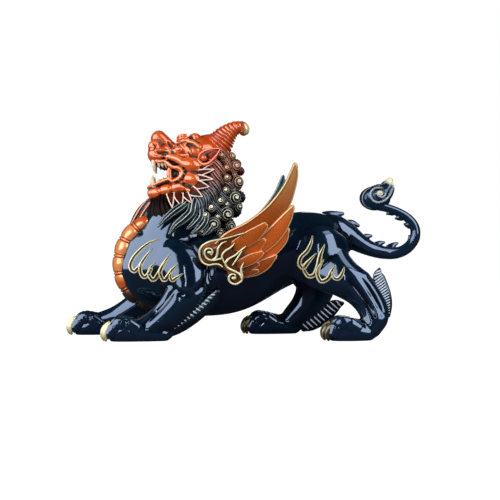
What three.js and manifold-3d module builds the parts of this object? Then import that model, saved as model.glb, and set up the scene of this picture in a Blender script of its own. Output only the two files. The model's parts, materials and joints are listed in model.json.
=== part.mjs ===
// A winged pixiu, a guardian beast of East Asia, cast in one piece. It crouches on its forelegs with the head
// raised and the mouth open, and its tail is curled over behind it.
// Millimetres, +Z up. The muzzle points to -X, and the left flank to -Y.
// The free forms are drawn on a figure of DRAWN_LENGTH by DRAWN_BREADTH, and at() takes them to the real size.
import * as THREE from "three";
import { mergeVertices } from "three/addons/utils/BufferGeometryUtils.js";
import Module from "manifold-3d";

// Driving sizes
const LENGTH = 303; // from the right forepaw to the bend of the tail
const BREADTH = 62; // across the chest
const FEATHER = 4.6; // thickness of a wing feather
const FIN = 4.4; // thickness of a leg's fin
const RELIEF = 2.4; // width of a raised flame line
const WING_FOOT = 28; // from the middle plane to the wing at its base
const WING_LEAN = 0.267; // outward lean of the wing for each millimetre of rise
const WING_BASE = 50; // height of the wing's base
const LAYER = 2; // rise of one layer of feathers over the next
const HORN_RINGS = 12;
const BELLY_PLATES = 15;
const FIN_RIBS = 10;

// The size at which the forms below are drawn
const DRAWN_LENGTH = 303;
const DRAWN_BREADTH = 62;
const ALONG = LENGTH / DRAWN_LENGTH;
const ACROSS = BREADTH / DRAWN_BREADTH;

const LATERAL = new THREE.Vector3(0, 1, 0);
const UPWARD = new THREE.Vector3(0, 0, 1);
const ROUND = 12; // sides of the body
const FINE = 8; // sides of a leg or of a large form
const COARSE = 6; // sides of a small one
const RIDGED = 4; // sides of a feather, a lock or a fin, which has sharp edges
const GRAIN = 0.6; // detail below this size is left out

const wasm = await Module();
wasm.setup();

// A drawn point at the real size.
function at(x, y, z) {
  return new THREE.Vector3(x * ALONG, y * ACROSS, z * ALONG);
}

// A closed geometry as a solid, its faces turned outwards.
function solid(geometry) {
  const bare = geometry.clone();
  bare.deleteAttribute("normal");
  bare.deleteAttribute("uv");
  const merged = mergeVertices(bare, 1e-3);
  const corners = merged.index.array;
  const kept = [];
  for (let i = 0; i < corners.length; i += 3) {
    const [a, b, c] = corners.slice(i, i + 3);
    if (a !== b && b !== c && c !== a) kept.push(a, b, c);
  }
  const make = (triVerts) =>
    new wasm.Manifold(new wasm.Mesh({ numProp: 3, vertProperties: merged.attributes.position.array, triVerts }));
  const made = make(new Uint32Array(kept));
  return made.volume() > 0 ? made : make(new Uint32Array(kept.reverse()));
}

// A solid as a geometry.
function geometryOf(manifold) {
  const mesh = manifold.getMesh();
  return new THREE.BufferGeometry()
    .setAttribute("position", new THREE.BufferAttribute(new Float32Array(mesh.vertProperties), 3))
    .setIndex(new THREE.BufferAttribute(new Uint32Array(mesh.triVerts), 1));
}

const join = (parts) => wasm.Manifold.union(parts);

// The same drawn rows on the other flank.
const mirrored = (rows) => rows.map(([x, y, z, ...rest]) => [x, -y, z, ...rest]);

// A round limb along a smooth path. Each row is [x, y, z, half width, half depth]: the width lies along `side`, and
// the depth square to it. `ripples` waves of height `swell` run along it, and its ends are rounded.
function limb(rows, { sides = FINE, steps = 1, side = LATERAL, ripples = 0, swell = 0, tip = 0.8 } = {}) {
  const path = new THREE.CatmullRomCurve3(rows.map(([x, y, z]) => at(x, y, z)));
  const sizes = new THREE.CatmullRomCurve3(rows.map((row) => new THREE.Vector3(row[3], row[4], 0)));
  const spans = ripples ? ripples * 2 : (rows.length - 1) * steps;
  const profile = [[0, 0, -1]];
  if (sides >= FINE) profile.push([0.62, 0, -0.78]);
  for (let i = 0; i <= spans; i++) profile.push([ripples && i % 2 ? 1 - swell : 1, i / spans, 0]);
  if (sides >= FINE) profile.push([0.62, 1, 0.78]);
  profile.push([0, 1, 1]);

  const rod = new THREE.LatheGeometry(profile.map(([radius], i) => new THREE.Vector2(radius, i)), sides);
  const vertices = rod.getAttribute("position");
  for (let i = 0; i < vertices.count; i++) {
    const [, along, beyond] = profile[Math.round(vertices.getY(i))];
    const size = sizes.getPoint(along);
    const run = path.getTangent(along);
    const wide = side.clone().addScaledVector(run, -side.dot(run)).normalize();
    const deep = new THREE.Vector3().crossVectors(run, wide);
    const reach = beyond * tip * Math.min(size.x, size.y);
    const place = path.getPoint(along)
      .addScaledVector(run, reach * ALONG)
      .addScaledVector(wide, vertices.getX(i) * size.x * (side === LATERAL ? ACROSS : ALONG))
      .addScaledVector(deep, vertices.getZ(i) * size.y * ALONG);
    vertices.setXYZ(i, place.x, place.y, place.z);
  }
  return solid(rod);
}

// An egg of the half sizes [x, y, z], tilted in side view by `lean` degrees.
function egg([x, y, z], [rx, ry, rz], lean = 0, sides = COARSE) {
  const ball = new THREE.SphereGeometry(1, sides, Math.ceil(sides / 2));
  ball.scale(rx * ALONG, ry * ACROSS, rz * ALONG);
  ball.rotateY(THREE.MathUtils.degToRad(lean));
  ball.translate(...at(x, y, z));
  return solid(ball);
}

// A cone from the middle of its foot to its point.
function spike(foot, point, radius, sides = RIDGED) {
  const from = at(...foot);
  const run = at(...point).sub(from);
  const cone = new THREE.ConeGeometry(radius * ALONG, run.length(), sides);
  cone.translate(0, run.length() / 2, 0);
  cone.applyQuaternion(new THREE.Quaternion().setFromUnitVectors(LATERAL, run.clone().normalize()));
  cone.translate(...from);
  return solid(cone);
}

const bothEggs = ([x, y, z], sizes, lean, sides) =>
  [egg([x, y, z], sizes, lean, sides), egg([x, -y, z], sizes, lean, sides)];
const bothLimbs = (rows, options) => [limb(rows, options), limb(mirrored(rows), options)];
const bothSpikes = (foot, point, radius, sides) =>
  [spike(foot, point, radius, sides), spike(...mirrored([foot, point]), radius, sides)];

// The barrel of the body from chest to rump, and the neck that rises from it into the mass of the mane.
function trunk() {
  const barrel = [
    [-93, 0, 62, 19, 21], [-80, 0, 61, 28, 35], [-63, 0, 58, 31, 40], [-38, 0, 56, 31, 40],
    [-12, 0, 55, 28.5, 36], [21, 0, 65, 25, 32], [45, 0, 75, 25, 30], [68, 0, 75.5, 24.5, 28.5], [81, 0, 73, 18, 22],
  ];
  const neck = [
    [-66, 0, 68, 28, 29], [-57, 0, 88, 27, 31], [-43, 0, 105, 25.5, 30], [-32, 0, 121, 23.5, 25.5],
    [-27, 0, 138, 21, 19.5], [-27, 0, 152, 17, 13],
  ];
  return [limb(barrel, { sides: ROUND }), limb(neck, { sides: ROUND })];
}

// The ribbed plates down the throat, chest and belly.
function bellyPlates() {
  const rows = [
    [-72, 0, 106, 12, 4], [-89, 0, 88, 15, 5], [-99, 0, 80, 17, 6], [-105, 0, 66, 18, 6],
    [-104, 0, 52, 18, 6], [-97, 0, 38, 17, 6], [-82, 0, 29, 16, 6], [-55, 0, 22, 15, 5], [-25, 0, 22, 14, 5],
  ];
  return limb(rows, { ripples: BELLY_PLATES, swell: 0.16 });
}

// A paw with four knuckled toes that end in claws, its sole below the ground until the soles are cut.
function paw(x, y, heel) {
  const parts = [limb([[heel, y, 4.5, 9.8, 10.8], [x + 8, y, 6, 11.2, 12.4], [x - 6, y, 4.5, 11.8, 9]], { sides: COARSE })];
  for (const place of [-1.5, -0.5, 0.5, 1.5]) {
    const back = x + Math.abs(place) * 2;
    const across = y + place * 5.6;
    const toe = [[back + 2, across, 11, 3.4, 6.4], [back - 9, across, 12, 4, 7.2], [back - 15.4, across, 2, 2.4, 3.4]];
    parts.push(limb(toe, { sides: 5 }));
  }
  return parts;
}

// The four legs. The left hind leg stands back and the right one forward, and the right foreleg reaches furthest.
function legs() {
  const leftFore = [
    [-66, -18, 66, 14, 24], [-53, -24, 56, 13, 21.5], [-50, -26.5, 46, 11.5, 17.5], [-58, -28, 34, 10.5, 13.3],
    [-70, -29, 22.5, 9.5, 11], [-86, -30, 12, 9, 9],
  ];
  const rightFore = [
    [-66, 19, 62, 15, 26], [-70, 23, 48, 12.5, 19], [-81, 25.5, 33.5, 10.5, 13.5], [-96, 27, 23.5, 10, 10.8],
    [-110, 28, 15.5, 9.5, 9.5], [-126, 28, 10, 9, 8.5],
  ];
  const leftHind = [
    [56, -17, 70, 14, 29], [64, -21.5, 59, 13.5, 24], [76, -25.5, 49, 11.5, 15.5], [88, -29, 40, 10, 12],
    [96, -31, 29, 9.2, 11.4], [98.5, -33, 18, 8.8, 10.4], [96, -34, 9, 8.5, 8.6],
  ];
  const rightHind = [
    [56, 17, 66, 15, 29], [58, 22, 50, 13, 19.5], [56.5, 25, 37, 11, 14.5], [51, 27, 25, 9.7, 12],
    [44, 28, 14, 9.3, 10], [37, 28, 8, 9, 8.5],
  ];
  return [
    ...[leftFore, rightFore, leftHind, rightHind].map((rows) => limb(rows)),
    ...paw(-100, -30, -70),
    ...paw(-138, 28, -116),
    ...paw(74, -35, 100),
    ...paw(14, 28, 42),
  ];
}

// A flat piece with the given outline in side view, whose corners `place` sets from x, z and depth.
function plate(outline, thickness, place) {
  const slab = new THREE.ExtrudeGeometry(new THREE.Shape(outline), { depth: thickness, bevelEnabled: false });
  const corners = slab.getAttribute("position");
  for (let i = 0; i < corners.count; i++) {
    const corner = place(corners.getX(i), corners.getY(i), corners.getZ(i) - thickness / 2);
    corners.setXYZ(i, corner.x, corner.y, corner.z);
  }
  return solid(slab);
}

// The edge of a strip along the rows [x, z, half width] in side view, on one hand of it.
function edge(rows, hand, sawn = 0) {
  const spine = new THREE.CatmullRomCurve3(rows.map(([x, z, half]) => new THREE.Vector3(x, z, half)));
  const count = sawn ? sawn * 2 : rows.length - 1;
  return Array.from({ length: count + 1 }, (_, i) => {
    const { x, y, z: half } = spine.getPoint(i / count);
    const run = spine.getTangent(i / count);
    const out = new THREE.Vector2(-run.y, run.x).setLength(hand * half * (sawn && i % 2 ? 0.7 : 1));
    return out.add(new THREE.Vector2(x, y));
  });
}

// The saw-edged fins down the backs of the legs.
function fins() {
  const fore = [[-24, 47, 3], [-33, 33, 8], [-48, 15, 8.5], [-66, 1, 5]];
  const farFore = [[-58, 38, 3], [-70, 24, 7], [-90, 12, 7], [-106, 3, 4]];
  const hind = [[104, 58, 2], [105.5, 46, 8], [108, 31, 8.8], [108, 16, 5]];
  const farHind = [[84, 27.5, 2], [71, 22, 8.5], [61, 12, 9], [50, 2, 5]];
  const fin = (rows, y, hand) => {
    const outline = [...edge(rows, hand, FIN_RIBS), ...edge(rows, -hand).reverse()];
    return plate(outline, FIN, (x, z, depth) => at(x, y + depth, z));
  };
  return [fin(fore, -28.5, 1), fin(farFore, 27.5, 1), fin(hind, -31, 1), fin(farHind, 27, 1)];
}

// The upper head: skull, snout, bulb of the nose with its wings, brow, forehead bumps and eyes.
function upperHead() {
  return [
    egg([-39, 0, 154], [21, 20, 15], 0, 10),
    egg([-43, 0, 136], [16, 19, 15], 0, FINE),
    limb([[-46, 0, 155, 18, 11], [-57, 0, 153, 15, 8.5], [-66, 0, 155, 12.5, 8], [-73, 0, 156.5, 11.5, 8]]),
    limb([[-60, 0, 155, 7, 6], [-67, 0, 162.5, 7.5, 6.8], [-72.8, 0, 167, 7.3, 6.4]]),
    ...bothEggs([-75.5, -7.5, 158.5], [5.4, 4.6, 5]),
    ...bothLimbs([[-64.6, -12, 151.5, 4, 4], [-56.5, -16, 150.5, 4.5, 4.5], [-49, -19, 149, 4, 5]], { sides: COARSE }),
    ...bothEggs([-47.5, -17.5, 141.5], [7.2, 7, 7.2], 0, FINE),
    ...bothEggs([-44, -18, 130], [7.6, 7, 7.6], 0, FINE),
    ...bothEggs([-54, -13.5, 155.8], [4.4, 4, 4.4]),
    ...bothEggs([-52.4, -10.5, 164.8], [4.7, 5, 4.7]),
    ...bothLimbs([[-51, -12, 164, 3, 3], [-45.5, -15.5, 162, 2.6, 3.2], [-38, -19.5, 156, 1.4, 1.6]], { sides: RIDGED }),
    ...bothEggs([-42.5, -6.5, 166.5], [5.2, 6, 4.8]),
  ];
}

// The lips and teeth of the open mouth, with the fold that joins the jaws at each corner.
function mouth() {
  const upperLip = [[-64, -15, 149, 2.2, 2.2], [-71, -13.2, 146.6, 2.2, 2.2], [-75.8, -9.5, 148.3, 2.4, 2.4], [-77.8, -4.5, 151, 2.6, 2.6]];
  const lowerLip = [[-60, -16, 130, 1.6, 1.6], [-67, -13.5, 128.6, 1.8, 1.8], [-75.5, -9.5, 125.2, 2, 2], [-80, -4.5, 122.8, 2.2, 2.2]];
  const rim = (rows) => limb([...rows, ...mirrored(rows).reverse()], { sides: RIDGED, side: UPWARD, tip: 0.5 });
  const cornerFold = [
    [-65.5, -15, 147.5, 1.6, 1.6], [-63.5, -17, 142.5, 1.8, 1.8], [-57, -19.5, 140.3, 1.8, 1.8], [-52, -20.5, 135, 1.8, 1.8],
    [-55, -20, 129.8, 1.8, 1.8], [-61, -17, 129.8, 1.6, 1.6],
  ];
  const web = [[-63.5, -14.5, 142, 2, 2], [-65, -15, 136, 2.2, 2.2], [-62.5, -15, 130.5, 2, 2]];
  const parts = [
    rim(upperLip),
    rim(lowerLip),
    ...bothLimbs(cornerFold, { sides: RIDGED }),
    ...bothLimbs(web, { sides: RIDGED }),
    ...bothSpikes([-75.5, -9.3, 149], [-74.8, -9.8, 138], 2.3, 6),
    ...bothSpikes([-76, -8.2, 123], [-77, -8.8, 132.6], 2.3, 6),
    limb([[-52, 0, 131, 9, 3], [-64, 0, 129, 8, 2.6], [-72, 0, 126.5, 6, 2.2]], { sides: COARSE }),
  ];
  for (const [x, z] of [[-71, 142.6], [-67, 141.4]]) {
    parts.push(...bothSpikes([x, -11.8, 148.4], [x, -12.4, z], 1.8));
  }
  return parts;
}

// The lower jaw with its row of bosses, and the beard below it.
function jaw() {
  return [
    limb([[-77, 0, 119.5, 7, 4.6], [-66, 0, 122.5, 11.5, 6], [-54, 0, 125.5, 15.5, 9], [-42, 0, 128, 17, 13]]),
    ...bothEggs([-75, -6.5, 118.8], [5.4, 5, 4.9]),
    ...bothEggs([-64.5, -12, 122.2], [5, 4.6, 4.8]),
    ...bothEggs([-54.8, -15.8, 123.4], [5.5, 4.8, 5.4]),
    limb([[-78, 0, 117, 4.5, 4], [-84, 0, 108, 6.5, 4.4], [-89.5, 0, 98.7, 5.5, 3.8], [-96, 0, 91, 2.2, 1]], { sides: COARSE }),
  ];
}

// The ringed horn, which bends back and ends in a round knob.
function horn() {
  const rows = [
    [-31, 0, 154, 15, 14.5], [-25.5, 0, 158, 12.5, 12.2], [-21.3, 0, 162.5, 10.6, 10.6], [-16.8, 0, 168.3, 8.4, 8.6],
    [-11.8, 0, 173.2, 6.3, 6.5], [-6.7, 0, 176.2, 4.9, 4.9], [-2.7, 0, 176, 4, 4],
  ];
  return [limb(rows, { ripples: HORN_RINGS, swell: 0.08 }), egg([-1, 0, 173.6], [4.6, 4.6, 4.7], 0, FINE)];
}

// A pointed ear, hollowed in front, with the boss inside it.
function ears() {
  const shell = [[-38, -20, 146, 3, 6.5], [-32, -23.5, 149, 3.4, 7.2], [-26.5, -26.5, 151, 2.8, 5], [-22.3, -29, 153.2, 1.2, 1.4]];
  const hollow = [[-36, -25.5, 147.5, 3, 4], [-32, -27.5, 149, 3, 4.8], [-27, -29.5, 151, 2.2, 3]];
  const ear = (flank) => join([
    limb(flank(shell), { sides: COARSE }).subtract(limb(flank(hollow), { sides: COARSE })),
    egg(flank([[-34.5, -24, 147.8]])[0], [2.8, 2.6, 2.8]),
  ]);
  return [ear((rows) => rows), ear(mirrored)];
}

// The mane: the snail curls over the back of the neck, and the locks that lead to them.
function mane() {
  const spine = [[-14, 150, 4.6], [-5, 140.5, 4.6], [-4, 129.5, 5.4], [-4, 118, 5.8], [-7, 106, 5.8], [-13, 96, 5.8]];
  const large = [
    [-9.5, -11, 144, 5], [-8.5, -12.5, 129.5, 6], [-11.5, -14, 116, 6.4], [-16.5, -16, 101.5, 6.4], [-27, -19.5, 92.5, 6],
  ];
  const small = [
    [-19.5, -16.5, 148.5, 3.8], [-15.7, -18, 139.5, 4], [-16, -19.5, 129.6, 4], [-17, -20.5, 119.8, 4.2],
    [-21.4, -22, 111, 4.2], [-28.7, -24, 105, 4.2], [-36, -25, 99, 4.2],
  ];
  const locks = [
    [[-31, -20, 142], [-24.5, -21, 140.5], [-19, -19, 137.5]],
    [[-34, -21, 133], [-26, -23, 131.5], [-20, -21, 128]],
    [[-36.5, -22, 125], [-29, -24, 121.5], [-22, -22.5, 118]],
    [[-39, -23, 118], [-34, -25.5, 112.5], [-29, -24.5, 108]],
    [[-43, -24, 113], [-41, -26.5, 106], [-38, -26, 100]],
  ];
  const parts = spine.map(([x, z, r]) => egg([x, 0, z], [r, r * 1.3, r]));
  for (const [x, y, z, r] of large) parts.push(...bothEggs([x, y, z], [r, r, r]));
  for (const [x, y, z, r] of small) parts.push(...bothEggs([x, y, z], [r, r, r], 30, 5));
  for (const rows of locks) {
    parts.push(...bothLimbs(rows.map(([x, y, z], i) => [x, y, z, 2.8, 4 - i * 0.7]), { sides: RIDGED }));
  }
  return parts;
}

// The flame-edged whiskers round the jaw, and the long locks that fall from them on the shoulder.
function whiskers() {
  const flames = [
    [[-38, -21, 138], [-27, -24.5, 138.8]], [[-38.5, -21, 132], [-28, -25.5, 129.8]], [[-40, -21.5, 126], [-31, -26, 124]],
    [[-43.5, -21.5, 122], [-37.5, -26, 117]], [[-48, -20, 119], [-45.5, -25.5, 110.5]], [[-54, -17, 118], [-52.5, -24, 108]],
    [[-60.5, -13, 117.5], [-60.5, -20.5, 106.5]],
  ];
  const falls = [
    [[-51, -23.5, 109.5, 2.4, 3.6], [-62, -25.5, 103, 2.4, 3.6], [-72, -25, 93.5, 1.2, 1]],
    [[-44, -24, 109, 2.6, 4.4], [-52.5, -27, 100, 2.6, 4], [-62.5, -27.5, 87, 1.2, 1]],
    [[-37, -24.5, 103.5, 2.4, 4], [-40.5, -27, 95, 2.4, 3.6], [-47, -29, 88, 1.2, 1]],
  ];
  return [
    ...flames.flatMap(([foot, point]) => bothSpikes(foot, point, 3)),
    ...falls.flatMap((rows) => bothLimbs(rows, { sides: RIDGED })),
  ];
}

// The rows of a curl round a centre, from its outer end inwards.
function curl([x, z], radius, start, turns, half) {
  const count = Math.ceil(Math.abs(turns) * 7);
  return Array.from({ length: count + 1 }, (_, i) => {
    const angle = THREE.MathUtils.degToRad(start + (360 * turns * i) / count);
    const reach = radius * (1 - (0.8 * i) / count);
    return [x + reach * Math.cos(angle), z + reach * Math.sin(angle), half];
  });
}

// The tail, the hooked spikes along its inner side, and the flame-tipped scroll that ends it.
function tail() {
  const rows = [
    [66, 0, 98, 11, 11], [74, 0, 94.5, 11.3, 11.3], [85, 0, 86.8, 10.2, 10.2], [95, 0, 79.4, 8.4, 8.4],
    [105, 0, 74.2, 6.8, 6.8], [116, 0, 70.8, 5.8, 5.8], [127, 0, 70.2, 5.2, 5.2], [137, 0, 74.2, 4.8, 4.8],
    [143.6, 0, 82.8, 4.6, 4.6], [143.6, 0, 92, 4.4, 4.4], [138, 0, 99.6, 4.2, 4.2], [129.4, 0, 104.8, 4, 4],
    [121, 0, 108, 3.9, 3.9], [112, 0, 110, 4, 4],
  ];
  const spikes = [
    [[75, 101], [85.5, 103.5], 4], [[87, 92.5], [98, 93], 3.6], [[100, 83], [109, 86.5], 3], [[113, 76], [121, 80.5], 2.6],
    [[124, 74], [131, 79.5], 2.4], [[134, 76], [137, 84], 2.4], [[141, 85], [136, 91], 2.2], [[137.5, 96], [130.5, 96.5], 2.2],
    [[130, 102], [122.5, 99.5], 2.2], [[120.5, 105.5], [114, 102], 2],
  ];
  return [
    limb(rows, { sides: 7 }),
    ...spikes.map(([foot, point, r]) => spike([foot[0], 0, foot[1]], [point[0], 0, point[1]], r)),
    egg([107.5, 0, 117.5], [12.2, 7.5, 11.2], -15, 10),
    limb([[112, 0, 110.5, 5, 4.5], [119.5, 0, 117, 5.6, 5.4], [122.5, 0, 126, 4.2, 4.4], [122.6, 0, 134.4, 1.3, 1.3]], { sides: COARSE }),
    limb([[101, 0, 124, 4, 4], [110, 0, 127.5, 5, 4.5], [121, 0, 131, 3, 3]], { sides: COARSE }),
    ...bothLimbs(curl([107, 117], 8.5, 60, 1.25, 1.6).map(([x, z, r]) => [x, -6.6, z, r, r]), { sides: RIDGED }),
  ];
}

// A blade of a wing along the rows [x, z, half width], as thick as FEATHER and raised by `lift` layers.
function blade(rows, lift, facing) {
  const outline = [...edge(rows, 1), ...edge(rows, -1).reverse()];
  const out = (z, depth) => facing * (WING_FOOT + WING_LEAN * (z - WING_BASE) + lift * LAYER + depth);
  return plate(outline, FEATHER, (x, z, depth) => at(x, out(z, depth), z));
}

// A wing on the flank that `facing` names: its long feathers, their coverts, the scrolled shoulder and its flames.
function wing(facing) {
  const feathers = [
    [0, [[-28, 71, 4], [-14, 79, 9], [3, 86.5, 10], [18, 99, 8.5], [27, 111, 7], [32.5, 123, 5.2], [35.4, 139, 0.3]]],
    [1, [[-6, 66, 5], [10, 75.5, 6.8], [22, 86.5, 6.8], [30, 97.5, 5], [35.4, 107, 0.3]]],
    [0, [[-4, 60, 5], [10, 67, 6.4], [20, 74, 6.2], [27.5, 81.5, 4.8], [32, 89, 0.3]]],
    [1, [[-6, 54, 5], [6, 57, 5.4], [14, 61.5, 5], [22, 67.6, 0.3]]],
  ];
  const coverts = [
    [2, [[-24, 72.5, 4], [-12, 77.5, 5.6], [-2.6, 84, 0.3]]],
    [3, [[-12, 76, 4], [0, 82, 6], [8, 88, 4.6], [16, 94.5, 0.3]]],
    [2, [[-5, 66, 4.6], [4, 72, 5.6], [13.5, 80.4, 0.3]]],
    [3, [[-5, 60, 4], [2, 63.5, 5], [10, 70.4, 0.3]]],
    [2, [[-8, 54.5, 3], [0, 57, 3.6], [7.5, 60.4, 0.3]]],
  ];
  const licks = [
    [4, [[-21, 60, 2.4], [-19, 69, 3], [-14.8, 79.5, 0.3]]],
    [4, [[-15, 57, 2.4], [-13, 67, 3], [-6, 78.5, 0.3]]],
    [4, [[-10, 57, 2.4], [-7, 65, 3.4], [3, 76.5, 0.3]]],
    [4, [[-4, 49, 2.6], [-5, 53, 3], [-2.5, 62, 0.3]]],
  ];
  const rim = [[-9, 84, 1], [-20, 81.5, 2.2], [-31, 77.5, 2.4], [-37.5, 70, 2.6]];
  const scrolls = [
    [4, [...rim, ...curl([-29.5, 69], 8.5, 200, 1.25, 2)]],
    [4, [[-17, 60, 2], [-8, 57, 2.4], ...curl([-10.5, 49.5], 6, 40, -1.1, 1.9)]],
  ];
  return [
    ...[...feathers, ...coverts, ...licks, ...scrolls].map(([lift, rows]) => blade(rows, lift, facing)),
    egg([-20, facing * 25, 68], [17, 7.5, 13]),
    egg([0, facing * 24.5, 66], [16, 6.5, 13]),
  ];
}

// The relief lines of flame on shoulder and thigh, each laid on the flank where it comes to lie.
function flames(body) {
  const skin = new THREE.Mesh(geometryOf(body), new THREE.MeshStandardMaterial({ side: THREE.DoubleSide }));
  const lay = ([x, z], away) => {
    const from = at(x, away * DRAWN_LENGTH, z);
    const hit = new THREE.Raycaster(from, new THREE.Vector3(0, -away, 0)).intersectObject(skin)[0];
    return [x, hit.point.y / ACROSS, z, RELIEF / 2, RELIEF / 2];
  };
  const shoulder = [
    [[-77, 81], [-87, 74], [-93, 64], [-92, 57], [-87, 56]],
    [[-79, 76], [-84, 67], [-85, 58], [-79, 52]],
    [[-70, 71], [-77, 64], [-78.5, 54], [-72.5, 50.5]],
    [[-61, 69], [-67, 61], [-70, 52], [-65, 50]],
    [[-52, 62], [-59, 56], [-62, 50], [-57, 51.5], [-51, 54.5]],
  ];
  const thigh = [
    [[53, 83], [51, 74], [44, 67], [43, 60], [48, 57]],
    [[56, 70], [52, 61], [53.5, 53], [58, 51]],
    [[63.5, 76], [62, 66], [58, 56], [60, 49], [66, 48]],
    [[74, 59], [71, 52.5], [67, 49]],
    [[78, 59], [77, 53], [72.5, 51.5]],
  ];
  const line = (points, away) => limb(points.map((point) => lay(point, away)), { sides: RIDGED, tip: 0.5 });
  return [-1, 1].flatMap((away) => [...shoulder, ...thigh].map((points) => line(points, away)));
}

// Everything below the ground, so that the figure stands on flat soles.
function ground() {
  const depth = 40;
  const block = new THREE.BoxGeometry(2 * LENGTH, 4 * BREADTH, depth);
  block.translate(0, 0, -depth / 2);
  return solid(block);
}

// The outer skin of a solid, without hollows that no opening reaches.
function outerSkin(manifold) {
  return manifold.decompose().reduce((largest, shell) => (shell.volume() > largest.volume() ? shell : largest));
}

const body = join([...trunk(), bellyPlates(), ...legs()]);
const regions = [
  [body, ...flames(body), ...fins()], [...upperHead(), ...mouth(), ...jaw(), ...ears()], horn(), [...mane(), ...whiskers()],
  tail(), wing(-1), wing(1),
];
const beast = join(regions.map((parts) => join(parts).asOriginal().simplify(GRAIN))).asOriginal().simplify(GRAIN / 1.5).subtract(ground());

const figure = new THREE.Mesh(
  geometryOf(outerSkin(beast)),
  new THREE.MeshStandardMaterial({ color: 0x101c30, roughness: 0.22, metalness: 0.6 }),
);
figure.name = "pixiu";

// The figure's own middle stands on the origin.
figure.geometry.computeBoundingBox();
const middle = figure.geometry.boundingBox.getCenter(new THREE.Vector3());
figure.position.set(-middle.x, -middle.y, 0);

const group = new THREE.Group();
group.add(figure);

export default group;
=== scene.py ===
import json
import math

import bpy
import numpy as np
from mathutils import Matrix, Vector
from mathutils.bvhtree import BVHTree

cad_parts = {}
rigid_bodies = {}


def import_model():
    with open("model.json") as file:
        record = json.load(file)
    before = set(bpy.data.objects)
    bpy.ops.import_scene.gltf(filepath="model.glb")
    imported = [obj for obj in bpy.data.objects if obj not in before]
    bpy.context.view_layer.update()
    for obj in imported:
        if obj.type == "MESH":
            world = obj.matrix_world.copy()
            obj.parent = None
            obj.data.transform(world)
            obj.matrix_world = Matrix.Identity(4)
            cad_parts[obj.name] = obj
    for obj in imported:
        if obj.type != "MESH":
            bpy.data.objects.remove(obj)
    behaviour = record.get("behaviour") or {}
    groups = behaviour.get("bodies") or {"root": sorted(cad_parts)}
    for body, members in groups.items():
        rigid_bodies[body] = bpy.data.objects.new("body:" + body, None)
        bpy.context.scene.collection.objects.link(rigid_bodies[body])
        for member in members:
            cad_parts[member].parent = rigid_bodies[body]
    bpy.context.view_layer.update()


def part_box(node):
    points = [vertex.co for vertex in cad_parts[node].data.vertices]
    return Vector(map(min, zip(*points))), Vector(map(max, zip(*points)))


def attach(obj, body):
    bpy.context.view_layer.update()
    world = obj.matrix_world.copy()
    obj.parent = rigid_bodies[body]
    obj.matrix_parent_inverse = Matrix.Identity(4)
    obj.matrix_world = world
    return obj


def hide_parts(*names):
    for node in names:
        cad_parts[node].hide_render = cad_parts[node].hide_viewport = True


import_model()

CASTING = "pixiu"
BODY = "root"

MM = 0.001
# Where the drawing's foremost point lies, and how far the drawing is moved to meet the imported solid
DRAWN_FRONT = -154.717
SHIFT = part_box(CASTING)[0].x / MM - DRAWN_FRONT
# The two flanks, and two directions
NEAR = -1
FAR = 1
LATERAL = (0.0, 1.0, 0.0)
UPWARD = (0.0, 0.0, 1.0)

# The wing's plane: how far across its foot stands, how much it leans out and from what height, and the step
# between its layers
WING_FOOT = 28.0
WING_LEAN = 0.267
WING_BASE = 50.0
LAYER = 2.0

# The size in millimetres of the finest form that a worked skin keeps
BODY_GRAIN = 1.09
HEAD_GRAIN = 0.59
SKULL_GRAIN = 0.6
WING_ROOT_GRAIN = 1.0
TUFT_GRAIN = 0.56

HORN_RINGS = 13
BELLY_PLATES = 8

# How many steps a drawn stretch of path is cut into before it is spaced evenly
PATH_STEPS = 16
# How strongly each pass of smoothing pulls a point to its neighbours
SMOOTHING = 0.5
# How many half widths away from its path a groove's soft side is felt
GROOVE_REACH = 2.6


# Points and outlines

def points_of(piece):
    """The piece's points, one row each."""
    flat = np.empty(len(piece.data.vertices) * 3)
    piece.data.vertices.foreach_get("co", flat)
    return flat.reshape(-1, 3)


def normals_of(piece):
    """The outward direction at each point of the piece."""
    flat = np.empty(len(piece.data.vertices) * 3)
    piece.data.vertices.foreach_get("normal", flat)
    return flat.reshape(-1, 3)


def set_points(piece, points):
    """Moves the piece's points to new places."""
    piece.data.vertices.foreach_set("co", np.asarray(points, float).ravel())
    piece.data.update()


def mark(piece, name, values):
    """Keeps one number a point on the piece, for its material to read."""
    layer = piece.data.attributes.get(name) or piece.data.attributes.new(name, "FLOAT", "POINT")
    layer.data.foreach_set("value", np.asarray(values, np.float32))


def smooth_rows(rows, count):
    """Evenly spaced rows on a smooth path through the drawn ones, their sizes carried along with them."""
    rows = np.array(rows, float)
    padded = np.vstack([2 * rows[0] - rows[1], rows, 2 * rows[-1] - rows[-2]])
    fine = []
    for a, b, c, d in zip(padded, padded[1:], padded[2:], padded[3:]):
        for t in np.linspace(0, 1, PATH_STEPS, endpoint=False):
            bend = (2 * a - 5 * b + 4 * c - d) * t * t + (3 * b - a - 3 * c + d) * t ** 3
            fine.append(0.5 * (2 * b + (c - a) * t + bend))
    fine = np.array(fine + [rows[-1]])
    steps = np.linalg.norm(np.diff(fine[:, :3], axis=0), axis=1)
    run = np.concatenate([[0], np.cumsum(steps)])
    places = np.linspace(0, run[-1], count)
    return np.column_stack([np.interp(places, run, column) for column in fine.T])


def mirrored(rows):
    """The same drawn rows on the other flank."""
    return [[x, -y, z, *rest] for x, y, z, *rest in rows]


def placed(points):
    """Drawn millimetres taken to metres in the frame."""
    points = np.asarray(points, float) * MM
    points[..., 0] += SHIFT * MM
    return points


# Sections of a form
# A section gives, at each turn round a form, how far its skin lies along the width and along the depth, in
# millimetres, and how much gilt it wears.

def oval(turn, wide, deep, share):
    """A plain round section."""
    return wide * np.cos(turn), deep * np.sin(turn), np.zeros_like(turn)


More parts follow.
